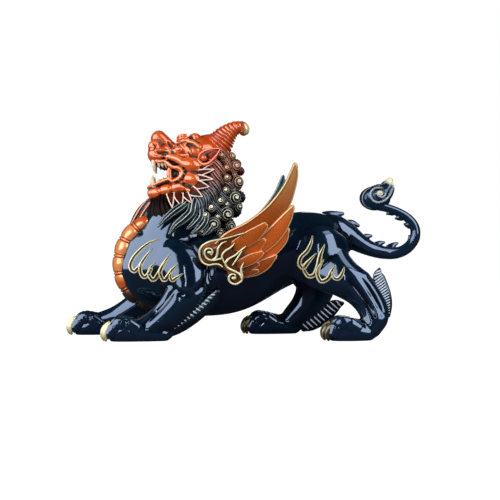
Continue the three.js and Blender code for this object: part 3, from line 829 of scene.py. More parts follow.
carve(body, muscle_lines(NEAR) + muscle_lines(FAR))
soften(body, 4)
mark_relief(body, 12, 0.22)
finished(body, NAVY)
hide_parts(CASTING)


def toe_profile(turn, wide, deep, share):
    """A toe's section, pinched behind the claw and between its two knuckles."""
    pinch = 0.16 * np.exp(-((share - 0.40) / 0.05) ** 2) + 0.14 * np.exp(-((share - 0.68) / 0.05) ** 2)
    return wide * (1 - pinch) * np.cos(turn), deep * (1 - pinch) * np.sin(turn), np.zeros_like(turn)


def toe_places():
    """The place of every toe from front to back and across."""
    for x, y, heel in PAWS:
        for place in TOES:
            yield x + abs(place) * 2.2, y + place * 5.5


def toes():
    """The four toes of every paw: a high knuckle, a lower one, and the last joint bent down to the claw."""
    parts = []
    creases = []
    for back, across in toe_places():
        rows = [
            [back + 9, across, 9, 2.4, 5.2], [back + 3, across, 12.8, 3.2, 5.8],
            [back - 1.6, across, 14.6, 3.5, 6.0],
            [back - 6.4, across, 12.8, 3.4, 5.6], [back - 10, across, 9.0, 3.3, 5.2],
            [back - 12, across, 5.2, 3.1, 4.2],
        ]
        parts.append(form(rows, around=24, rings=36, section=toe_profile))
        for lift in (0, 1.7, 6.0, -4.4):
            creases.append([
                [back - 4 + lift, across - 3.4, 15, 0.5, -0.6],
                [back - 3 + lift, across, 20.8 - 0.2 * abs(lift), 0.5, -0.7],
                [back - 4 + lift, across + 3.4, 15, 0.5, -0.6],
            ])
    piece = joined("toes", parts)
    carve(piece, creases)
    flat_soles(piece)
    mark_relief(piece, 8, 0.2)
    return finished(piece, NAVY)


def claws():
    """The claws down the front of every toe, gilt on the forepaws and dark with gilt lines on the hind
    ones."""
    parts = []
    for back, across in toe_places():
        rows = [
            [back - 11.8, across, 14.8, 1.0, 1.0], [back - 14.2, across, 11.8, 2.0, 1.9],
            [back - 15.8, across, 8.0, 2.4, 2.3], [back - 16.0, across, 4.2, 2.1, 2.1],
            [back - 15.2, across, 1.2, 1.1, 1.1],
        ]
        parts.append(form(rows, around=16, rings=20))
    piece = joined("claws", parts)
    flat_soles(piece)
    points = points_of(piece) / MM
    front = points[:, 0] < 0
    stripes = 0.5 + 0.5 * np.sin(points[:, 1] * 2.6 + points[:, 2] * 0.5)
    mark(piece, "gilt", np.where(front, np.clip(0.5 + points[:, 2] / 30, 0, 1), 0.3 + 0.2 * stripes))
    return finished(piece, GILT)


toes()
claws()


# The belly plates

# The band of plates from throat to belly, in the same rows
PLATES = [
    [-68, 0, 101, 11.5, 3.8], [-79, 0, 97.5, 15, 5.6], [-90, 0, 90.4, 16.2, 7.2], [-98, 0, 80, 16.6, 8],
    [-101.8, 0, 66, 16.8, 8.4], [-101, 0, 52, 16, 8.4], [-95.4, 0, 38.4, 13.4, 7.2], [-86, 0, 30.2, 10, 5.4],
    [-75, 0, 25.4, 7, 3.6],
]


def belly_plates():
    """The plates down throat, chest and belly: each a broad band, then a narrow rib between two grooves.
    Painted shade darkens them towards the throat and under the belly."""
    def plated(turn, wide, deep, share):
        step = (share * BELLY_PLATES + 0.3) % 1.0
        groove = np.exp(-((step - 0.08) / 0.028) ** 2) + np.exp(-((step - 0.24) / 0.028) ** 2)
        arch = 0.5 * np.sin(np.clip((step - 0.24) / 0.76, 0, 1) * math.pi)
        swell = 1 + (arch - 1.1 * groove) / np.maximum(deep, 1)
        return wide * swell * np.cos(turn), deep * swell * np.sin(turn), np.zeros_like(turn)

    piece = named(form(PLATES, around=44, rings=350, section=plated), "belly_plates")
    mark_relief(piece, 14, 0.3)
    # Painted shade: the relief falls towards the recess colour at the top, under the jaw, and at the bottom,
    # under the belly
    z = points_of(piece)[:, 2] / MM
    shade = np.clip(np.clip((z - 92) / 10, 0, 0.7) + np.clip((51 - z) / 14, 0, 1), 0, 1)
    mark(piece, "relief", marks_of(piece, "relief") * (1 - 0.86 * shade))
    return finished(piece, PLATE)


belly_plates()


# The head

# The lips and the rolls at the near corner of the mouth, in the same rows
UPPER_LIP = [
    [-59.4, -18.6, 139.8, 1.3, 1.3], [-62.4, -17.4, 140.8, 1.4, 1.4], [-64.8, -16, 143.4, 1.4, 1.5],
    [-67.4, -14.6, 145.2, 1.4, 1.6], [-71.5, -12.8, 145.2, 1.5, 1.7], [-76, -9.6, 146.2, 1.5, 1.7],
    [-79.2, -5, 149, 1.5, 1.7], [-80, 0, 150, 1.5, 1.7],
]
CORNER_ROLL = [
    [-64.6, -16.6, 144.2, 1.0, 1.2], [-61.8, -18, 141.2, 1.3, 1.4], [-59.2, -18.9, 139.9, 1.3, 1.4],
    [-55.6, -20.2, 139.5, 1.3, 1.5], [-52.5, -21, 136.4, 1.3, 1.5], [-52.8, -21, 133, 1.3, 1.5],
    [-55.6, -20.2, 130.4, 1.3, 1.4], [-59.2, -19, 128.7, 1.2, 1.3], [-62, -17.8, 128.8, 0.9, 1.0],
]
CORNER_INNER = [
    [-58.6, -18.8, 138.4, 0.7, 0.8], [-56.4, -19.6, 138, 0.8, 0.9], [-54.4, -20.2, 135.8, 0.8, 0.9],
    [-54.8, -20.2, 133, 0.8, 0.9], [-57, -19.4, 131, 0.8, 0.9], [-59.4, -18.6, 130.2, 0.7, 0.8],
]
LOWER_LIP = [
    [-62, -17.4, 130, 1.2, 1.3], [-65.4, -16, 130, 1.3, 1.4], [-70.4, -13.6, 128.2, 1.4, 1.5],
    [-76, -10, 126, 1.4, 1.6], [-80, -5.4, 124.6, 1.4, 1.6], [-81, 0, 124.2, 1.4, 1.6],
]


def head_mass():
    """The broad forms of the head, worked into each other: skull, snout, brow, cheeks and jaw."""
    lumps = [
        egg((-39, 0, 153.4), (21, 19, 14.6), 0, 48),
        egg((-44, 0, 136), (15, 18, 15), 0, 40),
        form([[-46, 0, 155, 18, 10.6], [-57, 0, 154, 15, 8], [-66, 0, 153.2, 13, 8],
              [-72, 0, 153.4, 11.6, 7.4]],
             around=40, rings=24),
        form([[-57, 0, 152, 6, 6], [-64, 0, 157.6, 6.8, 6.6], [-70.2, 0, 163.4, 7.2, 6.8],
              [-73.6, 0, 166.6, 7.2, 6.7]],
             around=32, rings=20),
        form([[-76.5, 0, 120, 8, 4.6], [-66, 0, 122.6, 12.6, 6.2], [-54, 0, 125.5, 16, 9],
              [-42, 0, 127, 17.5, 12]],
             around=36, rings=24),
    ]
    lumps += both_eggs((-73.2, -7.4, 151), (8.6, 7.0, 6.8), 8, 36)
    lumps += both_eggs((-75.6, -7.2, 158.4), (5.8, 5.4, 5.2), 0, 32)
    lumps += both([[-65, -13.6, 149.4, 2.8, 2.8], [-59.6, -16.4, 147.8, 3.4, 3.1],
                   [-54, -18.6, 145, 3.6, 3.6], [-50.6, -19.8, 141.4, 3, 3.2]], around=20, rings=16)
    lumps += both([[-49.6, -17.4, 142.4, 6.4, 5.8], [-45, -18, 141.6, 7.2, 6.6],
                   [-40.6, -17.4, 140.8, 6.6, 6]],
                  around=36, rings=16)
    lumps += both([[-47.6, -18, 130.4, 6.4, 6], [-43.6, -18.6, 129.8, 7.2, 6.6], [-39.6, -18, 129, 6.4, 6]],
                  around=36, rings=16)
    lumps += both_eggs((-52.6, -10, 163.8), (5, 5, 4.8), 0, 28)
    lumps += both([[-50, -13, 161.5, 3, 3], [-44.5, -16.2, 159.6, 2.8, 3.2], [-38, -19, 156, 1.8, 2]],
                  around=20, rings=16)
    lumps += both_eggs((-42.5, -6.5, 164.8), (5.8, 6.4, 4.8), 0, 28)
    lumps += both([[-78, -5, 119.6, 5, 4.6], [-73, -8, 120, 5.4, 5], [-69.6, -9.6, 121, 3.6, 3.6]], around=28,
                  rings=14)
    lumps += both([[-67.6, -10.4, 121.4, 5, 4.8], [-63.4, -12.2, 122.4, 5, 4.6]], around=28, rings=10)
    lumps += both([[-58.4, -13.6, 123.2, 5.4, 5], [-52.4, -15.6, 124.6, 5.6, 5.6]], around=28, rings=12)
    lumps += both([[-47.6, -18, 121.6, 3.2, 2.8], [-44, -19, 120.8, 3, 2.8]], around=24, rings=10)
    lumps.append(form([[-36, 0, 155, 16, 13.6], [-29, 0, 157.6, 13, 12.6]], around=40, rings=12))
    return clay("head", lumps, SKULL_GRAIN, 9)


def head_skin():
    """The orange head in one skin, its folds, lips, lids and creases cut crisp over the broad forms."""
    details = [head_mass()]
    for rows in (UPPER_LIP, LOWER_LIP):
        details.append(form(rows + mirrored(rows)[-2::-1], around=16, rings=64, side=UPWARD))
    details += both(CORNER_ROLL, around=16, rings=40)
    details += both(CORNER_INNER, around=14, rings=32)
    details += both([[-62.6, -16, 139.6, 1.6, 1.8], [-63.6, -16.4, 134.6, 1.7, 2.2],
                     [-62.2, -16.4, 129.6, 1.6, 1.8]],
                    around=14, rings=16)
    lids = [
        [[-55, -13.2, 159.6, 0.7, 0.8], [-52.2, -16.6, 156.8, 0.9, 1.0], [-49.6, -18.8, 152.8, 0.9, 1.0],
         [-47.6, -19.4, 149.2, 0.7, 0.8]],
        [[-52.4, -13.8, 160.6, 0.7, 0.8], [-49.6, -17.4, 157.6, 0.9, 1.0], [-47, -19.4, 153.6, 0.9, 1.0],
         [-45.2, -20, 150.4, 0.7, 0.8]],
        [[-59.8, -13.2, 151.6, 0.8, 0.9], [-55.4, -16.8, 150.4, 1.0, 1.1], [-49.6, -19, 149.6, 0.8, 0.9]],
        [[-59.4, -12, 158.6, 0.7, 0.8], [-57.4, -14.4, 160.2, 0.8, 0.9], [-54, -15, 161, 0.7, 0.8]],
    ]
    for rows in lids:
        details += both(rows, around=14, rings=20)
    brow = [
        [[-57, -8.6, 165.2, 0.9, 0.9], [-54.4, -13.6, 166.6, 1.1, 1.1], [-49.2, -14.6, 167.4, 0.8, 0.8]],
        [[-57.6, -9.4, 162.6, 0.9, 0.9], [-54, -14.6, 164, 1.1, 1.1], [-47.6, -15.8, 165.2, 0.8, 0.8]],
        [[-56.6, -11, 160.4, 0.8, 0.8], [-52.6, -15, 161.6, 1.0, 1.0], [-47, -16.8, 162.8, 0.8, 0.8]],
    ]
    for rows in brow:
        details += both(rows, around=14, rings=20)
    streaks = [
        [[-80.6, -6, 153.6, 0.6, 0.7], [-78, -12, 150, 0.7, 0.8], [-72, -14.4, 148.8, 0.7, 0.8],
         [-67, -14.6, 149.4, 0.5, 0.5]],
        [[-81, -5, 156, 0.5, 0.6], [-79.4, -11, 152.6, 0.6, 0.7], [-74, -14.4, 150.8, 0.6, 0.7],
         [-69, -14.8, 150.8, 0.4, 0.5]],
    ]
    for rows in streaks:
        details += both(rows, around=12, rings=24)

    skin = clay("head", details, HEAD_GRAIN, 3)
    # Grooves round nostrils, eyes, cheeks and jaw
    grooves = [
        [[-73, -13.4, 153.4, 1.3, -2.6], [-68.6, -14.2, 152.6, 2.0, -4.6], [-63.6, -14.6, 151.6, 1.2, -2.4]],
        [[-76.6, -12, 159.4, 0.8, -2.2], [-74.8, -12.6, 157.6, 0.9, -2.8], [-75.6, -12.6, 156, 0.7, -1.6]],
        [[-72, -9, 161.6, 1.1, -1.4], [-69, -11.8, 159, 1.2, -1.8], [-66, -12.6, 155.6, 1.1, -1.4]],
        [[-63.6, -7, 161.6, 1.4, -2.0], [-61.4, -11, 157, 1.6, -2.6], [-61, -13.4, 152.6, 1.2, -2.0]],
        [[-63.6, -15.2, 146.4, 1.0, -1.6], [-60.9, -16.6, 143.6, 1.3, -2.4], [-55.2, -18.8, 142.4, 1.2, -2.0],
         [-51.4, -21, 138.8, 1.1, -1.8], [-50.6, -21.6, 134, 1.1, -1.8], [-53.4, -20.6, 130, 1.1, -1.8],
         [-58, -19, 127.6, 1.0, -1.5]],
        [[-50.4, -23, 136.6, 1.1, -2.2], [-46, -24.4, 135.8, 1.1, -1.8], [-40.6, -22.8, 135.2, 1.0, -1.2],
         [-37.6, -21.6, 134.8, 0.8, -0.7]],
        [[-57.4, -17.4, 128.2, 1.1, -1.4], [-51, -20.4, 125.8, 1.2, -2.4], [-45.6, -21.6, 123.4, 1.2, -2.4],
         [-41, -20.6, 121, 1.1, -1.6]],
        [[-71, -10.6, 123.6, 1.0, -1.8], [-70.4, -11.4, 120, 1.1, -2.0], [-70, -9, 116, 1.1, -1.8]],
        [[-60.8, -15, 126.6, 1.0, -1.8], [-60.6, -15.6, 122.4, 1.1, -2.0], [-60.4, -13, 117.4, 1.1, -1.8]],
        [[-79.6, -7, 122.8, 0.9, -1.4], [-72, -12.6, 125.8, 1.0, -2.0], [-64.6, -16, 128.2, 0.9, -1.6]],
        [[-48.6, -17.6, 158.6, 1.2, -2.6], [-44.8, -19.2, 157.6, 1.4, -3.2], [-40, -20.6, 154.2, 1.1, -2.2]],
        [[-58.9, -10, 162.6, 0.9, -1.6], [-59.2, -12.6, 159.6, 0.9, -1.6], [-60, -13.4, 156, 0.9, -1.6]],
        [[-47, -10, 168, 1.2, -2.0], [-44.6, -13.8, 164.8, 1.2, -2.0], [-39, -17, 161.4, 1.1, -1.4]],
        [[-48, -5, 169.6, 1.0, -1.4], [-49.5, 0, 168.4, 1.0, -1.4]],
        [[-51.4, -18.8, 155, 0.7, -1.2], [-49, -19.8, 151.4, 0.7, -1.2]],
        [[-45.6, -21.4, 150.6, 1.0, -1.6], [-41.6, -22, 146, 1.0, -1.8], [-38.6, -21.6, 140, 0.9, -1.4]],
    ]
    carve(skin, grooves + [mirrored(rows) for rows in grooves])
    mark_relief(skin, 14, 0.4, 110, 1.6)
    return finished(skin, FACE)


def coil(x, y, z, start, steps, reach, shrink, width, depth):
    """A path round a point of the flank, 30 degrees a step, its reach shrinking as it goes."""
    path = []
    for step in range(steps):
        angle = math.radians(start + 30 * step)
        out = reach - shrink * step
        path.append([x + out * math.cos(angle), y, z + out * math.sin(angle), width, depth])
    return path


def eyes():
    """The round eyeballs under the brows, each with a ring cut for the iris."""
    piece = joined("eyes", both_eggs((-54.9, -13.4, 154.8), (3.7, 3.8, 3.7), 0, 40))
    for facing in (NEAR, FAR):
        carve(piece, [coil(-55.6, facing * 16.8, 155.2, 0, 13, 1.7, 0.0, 0.4, -0.35)])
    mark_relief(piece, 6, 0.3)
    return finished(piece, FACE)


def mouth():
    """The inside of the mouth, near black as painted shade, the tongue and the teeth."""
    inside = joined("mouth_inside", [
        form([[-46, 0, 136, 14, 8.5], [-57, 0, 135, 13.6, 7]], around=28, rings=12),
        form([[-50, 0, 145, 13, 4.6], [-62, 0, 143.8, 12.4, 4.4], [-68, 0, 143.8, 11.2, 4.4],
              [-73, 0, 145.6, 9, 3.4]],
             around=24, rings=16),
        form([[-50, 0, 129.5, 12, 2.4], [-66, 0, 128, 10.4, 2.2], [-76, 0, 125.4, 6.8, 1.8]], around=24,
             rings=16),
    ])
    finished(inside, MOUTH_SHADE)
    tongue = named(form([[-50, 0, 133.5, 7.5, 3], [-62, 0, 131.8, 7, 2.4], [-70.5, 0, 130, 5, 1.8]],
                        around=32, rings=32), "tongue")
    carve(tongue, [[[-52, 0, 136.4, 0.9, -1.2], [-62, 0, 134.4, 0.9, -1.2], [-71, 0, 131.8, 0.8, -0.7]]])
    mark_relief(tongue, 6, 0.5)
    finished(tongue, FACE)

    parts = []
    # The fangs, then the small teeth behind them
    fangs = [
        [[-75.8, -9.2, 148, 2.4, 2.3], [-76.4, -9.8, 143, 2.0, 2.0], [-75.6, -10, 138, 1.0, 1.0]],
        [[-76.4, -8.4, 125.4, 2.3, 2.3], [-77.2, -8.8, 129.4, 1.9, 1.9], [-76.8, -9, 133.4, 1.0, 0.9]],
        [[-66.2, -13, 144.8, 1.3, 1.4], [-66, -13.2, 142.2, 1.2, 1.3], [-65.6, -13.2, 140, 0.5, 0.5]],
        [[-69.2, -12.4, 145.4, 1.3, 1.4], [-69, -12.6, 142.6, 1.2, 1.3], [-68.7, -12.6, 140.4, 0.5, 0.5]],
        [[-72.1, -11.6, 145.8, 1.3, 1.4], [-71.9, -11.8, 143, 1.2, 1.3], [-71.6, -11.8, 140.8, 0.5, 0.5]],
        [[-72, -11.4, 127.4, 1.2, 1.3], [-72.2, -11.4, 129.6, 1.0, 1.1], [-72.1, -11.4, 131.2, 0.4, 0.4]],
        [[-68.2, -12.8, 128.8, 1.2, 1.3], [-68.4, -12.8, 130.8, 1.0, 1.1], [-68.3, -12.8, 132.2, 0.4, 0.4]],
    ]
    for rows in fangs:
        parts += both(rows, around=16, rings=14, caps=3)
    for place in (-4.2, -1.4, 1.4, 4.2):
        upper = [[-77.8, place, 148.4, 1.3, 1.1], [-78, place, 145.8, 1.1, 0.8],
                 [-77.8, place, 144.6, 0.8, 0.5]]
        lower = [[-79, place, 124.6, 1.3, 1.1], [-79.4, place, 127, 1.1, 0.8],
                 [-79.3, place, 128.2, 0.8, 0.5]]
        parts += [form(rows, around=14, rings=10, caps=3) for rows in (upper, lower)]
    finished(joined("teeth", parts), IVORY)


def ear(facing):
    """A pointed ear: its thin rolled rim and the round boss in it, and the lining behind them."""
    flank = (lambda rows: rows) if facing == NEAR else mirrored
    rim = [
        [-39.3, -22, 145.4, 1.0, 1.3], [-37.6, -23.8, 150.2, 0.9, 1.2], [-32.8, -26.2, 153, 0.8, 1.1],
        [-27.1, -28.6, 153.8, 0.8, 1.0], [-22.3, -30.2, 153.6, 0.7, 0.8], [-23.1, -29.8, 150.8, 0.8, 1.0],
        [-26.3, -29, 146.4, 0.9, 1.2], [-31.2, -27, 142.3, 1.0, 1.3], [-36, -24.2, 142.1, 1.0, 1.3],
        [-39.3, -22, 145.4, 1.0, 1.3],
    ]
    back = [
        [-40, -15.4, 146, 1.6, 6.2], [-34, -18.4, 147.8, 1.8, 6.6], [-28, -22.8, 149.8, 1.6, 4.8],
        [-23.8, -27, 152, 0.9, 1.4],
    ]
    parts = [
        form(flank(rim), around=18, rings=72),
        egg(flank([[-34.9, -23.6, 146.8]])[0], (2.6, 2.6, 2.6), 0, 28),
    ]
    return parts, form(flank(back), around=32, rings=28)


def ears():
    """Both ears, with their linings."""
    near_parts, near_lining = ear(NEAR)
    far_parts, far_lining = ear(FAR)
    piece = joined("ears", near_parts + far_parts)
    # A faint painted shade in the recesses of the rims and bosses, and a faint painted highlight on their
    # ridges
    mark(piece, "relief", np.clip(local_relief(piece, 4, 0.6), 0.3, 0.66))
    finished(piece, FACE)
    lining = joined("ear_linings", [near_lining, far_lining])
    # The lining's mark is low in the hollow, where it takes black painted shade
    points = points_of(lining) / MM
    mark(lining, "gilt", np.clip((points[:, 0] - SHIFT + 33.4) / 5, 0, 1))
    finished(lining, EAR_LINING)


head_skin()
eyes()
mouth()


# The horn

def horn():
    """The ringed horn that bends back from the crown."""
    rows = [
        [-33, 0, 153, 15.4, 14.4], [-26.5, 0, 157.4, 12.8, 12.4], [-21.3, 0, 162.5, 10.6, 10.6],
        [-16.8, 0, 168.3, 8.4, 8.6], [-11.8, 0, 173, 6.4, 6.6], [-7.4, 0, 175.4, 5.3, 5.3],
        [-4.0, 0, 175.6, 4.9, 4.9],
    ]

    def ringed(turn, wide, deep, share):
        step = (share * HORN_RINGS) % 1.0
        fade = np.clip((1 - share) / 0.12, 0.2, 1)
        ring = (0.5 - 0.5 * np.cos(2 * math.pi * step)) ** 0.7
        swell = 1.0 + 0.10 * fade * ring
        return wide * swell * np.cos(turn), deep * swell * np.sin(turn), ring * fade + 0.6 * (1 - fade)

    piece = named(form(rows, around=56, rings=240, section=ringed), "horn")
    # The rings' pattern as relief: painted shade in the grooves between the rings and a painted highlight on
    # their crests
    mark(piece, "relief", 0.20 + 0.48 * marks_of(piece, "gilt"))
    return finished(piece, FACE)


def horn_knob():
    """The knob that the horn rolls into, with the coil cut in it."""
    rows = [
        [-7.0, 0, 175.4, 4.6, 4.6], [-3.2, 0, 175.8, 5.0, 5.0], [-1.2, 0, 173.8, 5.0, 4.8],
        [-2.4, 0, 172, 4.2, 4.0],
    ]
    piece = named(form(rows, around=48, rings=36), "horn_knob")
    for facing in (NEAR, FAR):
        carve(piece, [coil(-2.8, facing * 4.2, 173.4, 130, 16, 3.6, 0.18, 0.5, -0.6)])
    x = points_of(piece)[:, 0] / MM - SHIFT
    mark(piece, "gilt", np.clip((x + 3.4) / 5, 0, 0.8))
    return finished(piece, KNOB)


ears()
horn()
horn_knob()


# The mane

def snail_curl(gilded=1.0):
    """One snail curl of hair, a dome with a ridge winding to its middle, one millimetre in radius and facing
    up."""
    nothing_selected()
    bpy.ops.mesh.primitive_uv_sphere_add(segments=30, ring_count=34, radius=1.0)
    piece = bpy.context.object
    ball = points_of(piece)
    turn = np.arctan2(ball[:, 1], ball[:, 0])
    down = np.arccos(np.clip(ball[:, 2], -1, 1)) / math.pi
    polar = np.where(down < 0.85, down / 0.85 * 1.85, 1.85 + (down - 0.85) / 0.15 * (math.pi - 1.85))
    wave = np.cos(2 * math.pi * 3.6 * polar / (math.pi / 2) - turn)
    fade = np.clip((1.9 - polar) / 0.3, 0, 1) * np.clip(polar / 0.1, 0, 1)
    swell = 1 + 0.055 * wave * fade
    swell[polar < 0.01] = 1.055
    skin = np.column_stack([
        swell * np.sin(polar) * np.cos(turn), swell * np.sin(polar) * np.sin(turn),
        0.95 * swell * np.cos(polar)])
    set_points(piece, skin)
    lines = np.where(fade > 0.1, 0.5 + 0.5 * wave, 0.2)
    heart = np.clip((0.55 - polar) / 0.25, 0, 1)
    mark(piece, "gilt", np.clip(np.where(polar < 0.2, 1.0, lines + gilded * heart * 0.5), 0, 1))
    return piece


def stamped(model, place, radius, out, spin):
    """A copy of a curl at a place on the mane, facing `out`."""
    curl = model.copy()
    curl.data = model.data.copy()
    bpy.context.scene.collection.objects.link(curl)
    facing = Vector(out).to_track_quat("Z", "Y").to_matrix() @ Matrix.Rotation(spin, 3, "Z")
    skin = (points_of(curl) * radius) @ np.array(facing).T + np.array(place)
    set_points(curl, placed(skin))
    return curl


# The curls down the back of the neck, each [x, z, radius], and those of a flank, each [x, y, z, radius]
SPINE_CURLS = [
    (-14, 151, 4.4), (-7.6, 144.6, 4.4), (-4.4, 138.8, 3.8), (-7, 129, 4.6), (-5.2, 117, 5.4),
    (-8.8, 105.4, 5.6), (-14.2, 94.6, 5.4), (-21, 88.5, 5),
]
LARGE_CURLS = [
    (-9.9, -10.5, 141.6, 5.0), (-7.8, -11.5, 128.4, 5.4), (-10.6, -13.5, 115.6, 5.8),
    (-17, -16.6, 102.2, 6.0), (-27.4, -20.6, 93.6, 5.8), (-7.4, -8.4, 108.6, 4.4), (-13.4, -12, 92.6, 4.6),
    (-22, -15, 86.6, 4.2), (-36.6, -22.6, 88.4, 4.4), (-12.4, -12.4, 149.6, 3.6),
]
SMALL_CURLS = [
    (-20.3, -17.6, 149.4, 3.2), (-16.2, -17.4, 139.6, 3.2), (-16, -18.6, 131.2, 3.2),
    (-17.2, -19.6, 121, 3.3), (-21.4, -21.4, 112.4, 3.5), (-28.7, -24, 106.4, 3.5),
    (-33.9, -25.6, 100.2, 3.4), (-10.2, -11.6, 134.8, 2.6), (-11.6, -14.4, 122.2, 2.8),
    (-16.4, -17.6, 109.6, 3.0), (-23.6, -20, 99.6, 2.8),
]


def curls():
    """The snail curls on both flanks of the mane, and the plain dark ones down the back of the neck."""
    model = snail_curl(0.4)
    bright = snail_curl(1.6)
    parts = []
    for index, (x, z, radius) in enumerate(SPINE_CURLS):
        lift = (z - 122) / 60
        plain = stamped(model, (x - 0.5, 0, z), radius * 1.05, (1, 0.15 * (-1) ** index, lift), index * 1.7)
        mark(plain, "gilt", 0.55 * marks_of(plain, "gilt"))
        parts.append(plain)
    for facing in (NEAR, FAR):
        for index, (x, y, z, radius) in enumerate(LARGE_CURLS):
            out = (0.35 + 0.03 * (x + 20), facing * 1.3, 0.1 + (z - 122) / 100)
            parts.append(stamped(model, (x, -facing * y, z), radius, out, index * 2.1 * facing))
        for index, (x, y, z, radius) in enumerate(SMALL_CURLS):
            parts.append(stamped(bright, (x, -facing * y, z), radius, (-0.15, facing * 1.3, 0.35),
                                 index * 2.1 * facing))
    bpy.data.objects.remove(model)
    bpy.data.objects.remove(bright)
    return finished(joined("mane_curls", parts), HAIR)


# The locks from the cheek to the curls and those on the shoulder, in rows like the body's
LOCKS = [
    [[-33, -18.4, 148.4, 2.2, 2.2], [-26.2, -20.6, 143.6, 2.8, 3.0], [-21, -20, 137.4, 2.8, 2.8],
     [-17.6, -18, 133.6, 1.2, 1.2]],
    [[-31.6, -19.6, 140, 1.8, 2.0], [-27.4, -22, 136.2, 2.8, 3.2], [-23.4, -21.8, 130.6, 2.8, 3],
     [-19.4, -19.4, 126.6, 1.2, 1.2]],
    [[-33, -20.4, 131.6, 1.8, 2.0], [-28.6, -22.8, 128.6, 2.8, 3.2], [-24.8, -22.8, 123.6, 2.8, 3],
     [-21.2, -20.6, 118.4, 1.2, 1.2]],
    [[-35, -21, 125.4, 1.8, 2.0], [-30.6, -24, 121.8, 2.8, 3.2], [-27.4, -24, 116.8, 2.8, 3],
     [-25.6, -22.4, 110.8, 1.2, 1.2]],
    [[-37.4, -21.6, 119.6, 1.8, 2.0], [-34.4, -24.4, 117, 2.8, 3.2], [-33, -25.2, 111.8, 2.8, 3],
     [-33, -24.6, 105.8, 1.2, 1.2]],
    [[-41.4, -22.4, 115.4, 1.8, 2.0], [-39.2, -24.8, 112.4, 2.8, 3.2], [-38.4, -26, 106.8, 2.8, 3],
     [-39.8, -25.8, 100.4, 1.2, 1.2]],
    [[-27.4, -17.6, 152.6, 2, 2.2], [-22, -18, 153.4, 2.6, 2.6], [-16.6, -14.4, 148.4, 2.6, 2.6],
     [-14.6, -14.6, 143, 1.2, 1.2]],
    [[-21, -18.4, 130, 1.8, 1.8], [-15.4, -17, 127, 2.4, 2.4], [-11.2, -14.8, 122.6, 2.2, 2.2],
     [-9.6, -12.8, 119, 1.0, 1.0]],
    [[-24, -20.4, 121, 1.8, 1.8], [-19.4, -19.4, 116.4, 2.4, 2.4], [-15, -17, 111.6, 2.2, 2.2],
     [-12.4, -14.6, 108, 1.0, 1.0]],
    [[-29, -22.6, 112.6, 1.8, 1.8], [-24.8, -21.6, 106.6, 2.4, 2.4], [-20.6, -19, 101.4, 2.2, 2.2],
     [-18, -17.4, 97.6, 1.0, 1.0]],
    [[-21, -16.6, 147, 1.8, 1.8], [-16.6, -15.6, 144.8, 2.4, 2.4], [-12.4, -13.4, 137.6, 2.2, 2.2],
     [-11, -12.6, 132.6, 1.0, 1.0]],
]
FALLS = [
    [[-47.4, -22, 112, 2.2, 2.2], [-51.6, -25, 108.2, 2.6, 2.9], [-57.9, -27, 104, 2.6, 3.0],
     [-65.2, -28, 98.2, 2.2, 2.4], [-72, -28, 91, 0.7, 0.7]],
    [[-42.4, -23.6, 113, 2.4, 2.6], [-43.6, -26.6, 108.6, 2.9, 3.4], [-45.4, -28.4, 102.4, 3.0, 3.6],
     [-51.4, -29.6, 97, 2.8, 3.4], [-58, -30, 92, 2.2, 2.4], [-62.8, -30, 85.2, 0.7, 0.7]],
    [[-36.8, -25.4, 105, 2.4, 2.6], [-37.8, -27.4, 99.6, 2.8, 3.2], [-42, -28.8, 94.6, 2.6, 2.8],
     [-48.6, -29.4, 89.4, 0.8, 0.8]],
    [[-32.6, -25, 101, 2.2, 2.4], [-34.4, -27.4, 95.2, 2.8, 3.2], [-38.6, -28.8, 90.4, 2.4, 2.8],
     [-44.8, -29.4, 85.6, 0.8, 0.8]],
    [[-28, -22.4, 91.5, 2.2, 2.6], [-31, -25.6, 88.6, 2.4, 2.8], [-35.5, -27.4, 84.6, 0.8, 0.8]],
]


def locks():
    """The wavy locks that lead from the cheeks to the curls, and those that fall on the shoulder."""
    for name, table, around, rings, section, material in (
        ("mane_locks", LOCKS, 48, 21, strands(9, 0.24, 0.5), HAIR_LOCK),
        ("shoulder_falls", FALLS, 44, 28, strands(7, 0.28, 0.7), HAIR_FALL),
    ):
        parts = []
        for rows in table:
            parts += both(rows, around=around, rings=rings, section=section)
        finished(joined(name, parts), material)


def mane_bed():
    """The combed bed of hair under the curls and locks, and the throat in front of it, both matt black as
    painted shade.
    """
    bed = [
        [-48, 0, 98, 23, 15], [-40, 0, 104, 24, 22], [-29, 0, 115, 22.4, 20], [-24.5, 0, 128, 21, 18.6],
        [-24, 0, 140, 19.5, 15.4], [-25, 0, 150, 16, 9],
    ]
    front = [[-66, 0, 115.4, 15, 12.4], [-66, 0, 110.6, 19, 15.4], [-65, 0, 104, 21.6, 19],
             [-62, 0, 98, 22, 18], [-60, 0, 92, 20, 16]]
    chin = [[-50, 0, 121, 18, 8], [-48, 0, 116, 22, 14], [-48, 0, 108, 24.4, 18], [-50, 0, 101, 24.6, 16]]
    piece = joined("mane_bed", [
        form(bed, around=96, rings=40, section=strands(30, 0.035, 0.5)),
        form(front, around=128, rings=28, section=strands(28, 0.05, 0.3)),
        form(chin, around=128, rings=18, section=strands(28, 0.04, 0.3)),
    ])
    return finished(piece, THROAT_SHADE_HAIR)


# The whiskers' outline in side view: the notches between them, and their tips
FRINGE_NOTCHES = [
    (-64.8, 114.9), (-58.7, 115.3), (-51, 114.2), (-46, 116.8), (-39.8, 121.5), (-36.9, 128.3),
    (-35.5, 133.1), (-34.9, 138.2), (-34.6, 142.6),
]
FRINGE_TIPS = [
    (-60.4, 106.4), (-52.8, 107.9), (-44.3, 109.9), (-36, 115.2), (-30.6, 123.2), (-27.3, 129.3),
    (-26.4, 137.4), (-26.8, 143.4),
]


# How far out from the middle plane each whisker stands
FRINGE_DEPTHS = (21.6, 23.4, 24.6, 25.2, 25.2, 24.8, 24.4, 24)


